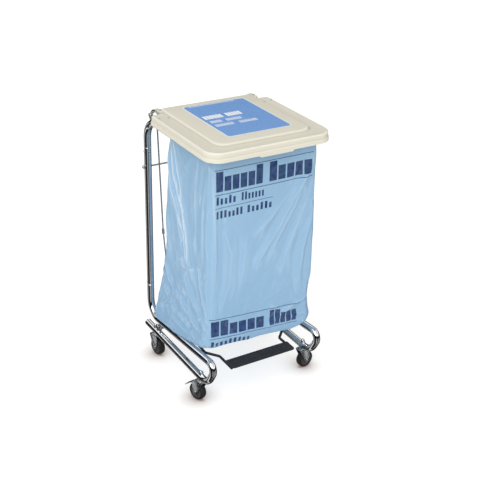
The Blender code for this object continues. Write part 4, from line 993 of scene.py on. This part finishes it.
def smooth_rows():
    """The film without creases, as rows round it: points, outward normals, heights, and share of creasing."""
    xy, normal = ring_at(FILM_FOOT_Z)
    columns = np.arange(len(xy))
    side = normal[:, 0] ** 2
    edge_side = rail_z(xy[:, 1]) + np.interp(xy[:, 1], EDGE_Y, EDGE_OVER)
    edge_end = np.where(normal[:, 1] < 0, np.interp(xy[:, 0], HEM_X, HEM_Z), REAR_EDGE_Z)
    edge = side * edge_side + (1 - side) * edge_end

    # each column takes its outline from its own height
    heights = np.linspace(0.15, 0.91, 60)
    rings = [ring_at(max(FILM_FOOT_Z, h)) for h in heights]
    outlines, outwards = (np.array(stack) for stack in zip(*rings))
    rows = []
    for level in np.linspace(0.0, 1.0, WALL_ROWS):
        z = FILM_TOP_Z + (edge - FILM_TOP_Z) * level
        place = (np.clip(z, 0.151, 0.909) - heights[0]) / (heights[1] - heights[0])
        low = np.floor(place).astype(int)
        part = (place - low)[:, None]
        here = outlines[low, columns] * (1 - part) + outlines[low + 1, columns] * part
        normal = outwards[low, columns]
        belly = np.exp(-((z - edge - 0.022) / 0.022) ** 2) * 0.0065
        turn_in = smooth_step(0.012 - (z - edge), 0.0, 0.012) * 0.0035
        rows.append((here + normal * ((belly - turn_in) * (0.35 + 0.65 * side))[:, None], normal, z, 1.0))

    # over the rails and inwards under the load
    last, rest_r = rows[-1][0], TUBE_R + RAIL_AIR
    for tuck, dip in ((0.003, 0.0022), (0.007, 0.0038), (0.012, 0.0050), (0.0175, 0.0060), (0.023, 0.0072),
                      (0.029, 0.0090)):
        here = last - normal * tuck
        z = edge - dip * (1 - side) - 0.3 * dip * side
        gap = np.clip(1.0 - ((np.abs(here[:, 0]) - SIDE_X) / rest_r) ** 2, 0.0, 1.0)
        on_rail = (gap > 0) & (here[:, 1] < 0.190)
        z = np.where(on_rail, np.maximum(z, rail_z(here[:, 1]) + rest_r * np.sqrt(gap)), z)
        rows.append((here, normal, z, 0.5))
    rim, rim_z = here, z
    spine = np.stack([rim[:, 0] * 0.02, rim[:, 1] * 0.55 - 0.01], axis=1)
    for t in (0.05, 0.12, 0.22, 0.35, 0.50, 0.66, 0.82, 0.93):
        here = rim * (1 - t) + spine * t
        fall = 1 - (1 - min(1.0, t * 2.2)) ** 2
        floor_z = FLOOR_Z + FLOOR_SLOPE * here[:, 1]
        rows.append((here, normal, rim_z * (1 - fall) + floor_z * fall, 0.3 * (1 - t)))
    return rows


def build_bag():
    """The film: gripped on the hoop, hung inside it, fuller below, sagging over the rails."""
    rows = smooth_rows()
    x0, y0 = (np.array([row[0][:, k] for row in rows]) for k in (0, 1))
    nx, ny = (np.array([row[1][:, k] for row in rows]) for k in (0, 1))
    z0, show = np.array([row[2] for row in rows]), np.array([row[3] for row in rows])[:, None]
    count = x0.shape[1]
    down = 0.905 - z0
    last = rows[WALL_ROWS - 1][0]
    lengths = np.linalg.norm(np.roll(last, -1, axis=0) - last, axis=1)
    girth = np.concatenate([[0.0], np.cumsum(lengths)[:-1]])
    p = np.repeat((girth * FILM_GIRTH / lengths.sum())[None, :], len(rows), axis=0)

    left, front, right, rear = (smooth_step(towards, 0.35, 0.95) for towards in (-nx, -ny, nx, ny))
    height = folds(y0, z0, LEFT_FOLDS, left) + folds(x0, z0, FRONT_FOLDS, front)
    right_folds = [([(y + 0.02, z - 0.03) for y, z in path], rise, width) for path, rise, width in LEFT_FOLDS]
    height += folds(y0, z0, right_folds, right)
    rear_folds = [([(-x, z) for x, z in path], rise * 1.2, width) for path, rise, width in FRONT_FOLDS]
    height += folds(x0, z0, rear_folds, rear)
    for crumples in CRUMPLES:
        height += crumple(p, z0, *crumples) * (1.0 - 0.62 * front)
    height += 0.0042 * waves(p, z0, 5, 6, 0.110, 0.300, 0.12) * (0.6 + 0.4 * (left + right))
    height *= show * smooth_step(down, 0.002, 0.045)
    above_rail = z0 - (rail_z(y0) + TUBE_R)
    near_rail = smooth_step(np.abs(x0), 0.180, 0.190) * (1 - smooth_step(above_rail, 0.004, 0.030))
    height = np.where(height < 0, height * (1 - near_rail), height * (1 - 0.5 * near_rail))
    height = np.clip(height, -0.009, 0.0085)

    around = np.roll(height, 1, axis=1) + np.roll(height, -1, axis=1)
    over = np.vstack([height[:1], height[:-1]]) + np.vstack([height[1:], height[-1:]])
    # painted highlight on ridges and painted shade in valleys of the film, from how sharply it bends; the
    # main left folds also get painted highlight lines along their crests
    crease = np.clip((4 * height - around - over) / CREASE_STEP, -1.0, 1.0) * (1.0 - 0.45 * front)
    crease *= 0.55 + 0.45 * smooth_step(z0, 0.38, 0.56)
    crease = np.maximum(crease, crest_highlights(y0, z0, LEFT_FOLDS[:5], 0.0032) * left)
    gather = 0.0020 * waves(p, z0 * 0, 21, 6, 0.018, 0.050, 0.0) * (1 - smooth_step(down, 0.01, 0.08))
    push = height + gather * 0.5

    # the rim, folded over the hoop to the outside
    back = smooth_step(ny[0], 0.3, 0.9)
    grip = TUBE_R * (1 - back) + HOOP_REAR_R * back + HOOP_AIR
    out_x, out_y = nx[0], ny[0]
    cuff = [(x0[0] + out_x * reach, y0[0] + out_y * reach, ARM_Z + grip * rise)
            for reach, rise in ((grip * (1 + math.cos(a)) + 0.0006, math.sin(a))
                                for a in np.radians(np.linspace(8.0, 172.0, CUFF_ROWS)))]
    cuff_x, cuff_y, cuff_z = (np.array(rows_of) for rows_of in zip(*cuff))
    all_x, all_y = np.vstack([cuff_x, x0 + nx * push]), np.vstack([cuff_y, y0 + ny * push])
    points = np.stack([all_x.ravel(), all_y.ravel(), np.vstack([cuff_z, z0]).ravel()], axis=1)
    n_rows = len(all_x)
    faces = ring_faces(n_rows, count) + [tuple(range((n_rows - 1) * count, n_rows * count))]
    film = piece("film_bag", points, faces, "blue_film", "frame", ("bag",), 180.0)

    # where the print lies: x and z of the unfolded film on the front, off the print elsewhere
    plain = np.zeros((CUFF_ROWS, count))
    slope = 0.076 * smooth_step(0.42 - z0, 0.0, 0.08) * (x0 + 0.197)
    across = np.vstack([plain + 9.0, np.where(ny < -0.5, x0, 9.0)]).ravel() / 2 + 0.5
    up = np.vstack([plain, z0 + slope]).ravel()
    uv = film.data.uv_layers.new(name="print")
    place = np.empty(len(film.data.loops), dtype=np.int64)
    film.data.loops.foreach_get("vertex_index", place)
    uv.data.foreach_set("uv", np.stack([across[place], up[place]], axis=1).ravel())
    # the painted highlights and painted shade that the film look reads
    mark = film.data.attributes.new("crease", "FLOAT", "POINT")
    mark.data.foreach_set("value", np.vstack([plain, crease]).ravel().astype(np.float32))


# ---------------------------------------------------------------- stage, light and camera

def build_floor():
    """A pale floor with painted warm shade where something stands close, which polished metal does not see.
    """
    bm = bmesh.new()
    bmesh.ops.create_grid(bm, x_segments=1, y_segments=1, size=30.0)
    mesh = bpy.data.meshes.new("floor")
    bm.to_mesh(mesh)
    bm.free()
    floor = bpy.data.objects.new("floor", mesh)
    bpy.context.scene.collection.objects.link(floor)
    look, tree, principled = shader("floor_look", (0.45, 0.45, 0.45), 0.9, specular=0.1)
    # painted contact shadow: ambient occlusion darkens the floor's colour and glow to warm brown where
    # something stands close
    free_of_painted_shadow = remap(tree, add(tree, "AmbientOcclusion", {"Distance": 0.085}, "AO"), (0.35, 1.0), (0.0, 1.0))
    feed(tree, principled, {"Base Color": mixed(tree, free_of_painted_shadow, (0.10, 0.07, 0.06), (0.45, 0.448, 0.443)),
                            "Emission Color": mixed(tree, free_of_painted_shadow, (0.26, 0.19, 0.17), (1.0, 0.993, 0.985)),
                            "Emission Strength": 0.70})
    floor.data.materials.append(look)
    floor.visible_glossy = False


AMBIENT = 0.56
# brightness from straight down to straight up, and all round: what polished metal sees of the studio
SKY = ((0.0, 0.32), (0.22, 0.42), (0.40, 0.32), (0.47, 0.10), (0.50, 0.02), (0.62, 0.03), (0.665, 0.06),
       (0.690, 1.15), (0.765, 1.20), (0.795, 0.45), (0.84, 0.28), (0.92, 0.40), (1.0, 0.22))
SCREENS = ((0.0, 0.10), (0.060, 0.06), (0.075, 1.50), (0.110, 1.60), (0.125, 0.10), (0.290, 0.05),
           (0.335, 0.10), (0.345, 2.60), (0.367, 2.80), (0.377, 0.12), (0.440, 0.20), (0.452, 2.20),
           (0.470, 2.20), (0.482, 0.14), (0.600, 0.35), (0.640, 0.06), (0.800, 0.06), (0.838, 0.10),
           (0.846, 2.60), (0.864, 2.80), (0.874, 0.12), (0.938, 0.20), (0.948, 2.20), (0.962, 2.20),
           (0.971, 0.12), (1.0, 0.12))
SCREENS_TOP = 0.34           # height of a direction's unit vector above which there are no screens


def build_world():
    """White to the camera, an even grey to matt surfaces, and a studio with screens to polished ones."""
    world = bpy.data.worlds.new("studio")
    bpy.context.scene.world = world
    world.use_nodes = True
    world.cycles.sampling_method = "NONE"       # gloss sees screens that plain light doesn't come from
    tree = world.node_tree
    calc = partial(math_node, tree)
    x, y, z = (add(tree, "SeparateXYZ", {"Vector": add(tree, "TexCoord", {}, "Generated")}, axis)
               for axis in "XYZ")
    over = gradient(tree, calc("MULTIPLY_ADD", z, 0.5, 0.5), SKY)
    round_about = gradient(tree, calc("MULTIPLY_ADD", calc("ARCTAN2", x, y), 0.5 / math.pi, 0.5), SCREENS)
    low = calc("LESS_THAN", z, SCREENS_TOP)
    screened = calc("ADD", calc("MULTIPLY", low, round_about), calc("SUBTRACT", 1.0, low))
    seen = tree.nodes.new("ShaderNodeLightPath")
    lit = mixed(tree, seen.outputs["Is Glossy Ray"], (AMBIENT, AMBIENT * 0.995, AMBIENT * 0.985),
                calc("MULTIPLY", over, screened))
    feed(tree, tree.nodes["Background"],
         {"Color": mixed(tree, seen.outputs["Is Camera Ray"], lit, (1.0, 1.0, 1.0))})


def lamp(name, kind, towards, power, place=(0.0, 0.0, 0.0)):
    """A light at a place, shining along a direction; returns its data."""
    data = bpy.data.lights.new(name, kind)
    data.energy = power
    made = bpy.data.objects.new(name, data)
    made.location = place
    made.rotation_euler = Vector(towards).to_track_quat("-Z", "Y").to_euler()
    bpy.context.scene.collection.objects.link(made)
    return data


def build_lights():
    """A soft sun from the left front, a softer one from the right, and a lamp near the camera."""
    lamp("key", "SUN", (0.70, 0.45, -0.95), 1.28).angle = math.radians(45.0)
    lamp("fill", "SUN", (-0.50, 0.60, -0.9), 0.40).angle = math.radians(70.0)
    place = Vector((-2.3, -2.5, 2.5))
    front = lamp("front", "AREA", Vector((0.0, 0.0, 0.55)) - place, 22.0, place)
    front.shape = "SQUARE"
    front.size = 0.8


CAMERA_PLACE = (-1.5260, -2.5563, 1.9831)
CAMERA_YAW, CAMERA_PITCH, CAMERA_ROLL = 32.17, 27.17, -1.79      # degrees: right of +Y, down, and tilt
CAMERA_LENS, CAMERA_SENSOR = 69.0, 36.0


def build_camera():
    """The photograph's view."""
    yaw, pitch, roll = (math.radians(a) for a in (CAMERA_YAW, CAMERA_PITCH, CAMERA_ROLL))
    ahead = Vector((math.sin(yaw) * math.cos(pitch), math.cos(yaw) * math.cos(pitch), -math.sin(pitch)))
    level = Vector((math.cos(yaw), -math.sin(yaw), 0.0))
    down = ahead.cross(level)
    right = math.cos(roll) * level + math.sin(roll) * down
    below = -math.sin(roll) * level + math.cos(roll) * down
    turn = Matrix((right, -below, -ahead)).transposed().to_4x4()
    data = bpy.data.cameras.new("camera")
    data.lens = CAMERA_LENS
    data.sensor_width = CAMERA_SENSOR
    camera = bpy.data.objects.new("camera", data)
    camera.matrix_world = Matrix.Translation(Vector(CAMERA_PLACE) + ORIGIN) @ turn
    bpy.context.scene.collection.objects.link(camera)
    bpy.context.scene.camera = camera
    bpy.context.scene.view_settings.view_transform = "Standard"


build_camera()
slot_of = {row["node"]: row["material_slot"] for row in frame["record"]["subparts"]}
for node, obj in nodes.items():
    for slot in obj.material_slots:
        slot.material = LOOKS[slot_of[node]]
build_frame()
build_lid()
build_label()
build_pedal()
build_casters()
build_bag()
build_floor()
build_world()
build_lights()

bpy.context.view_layer.update()
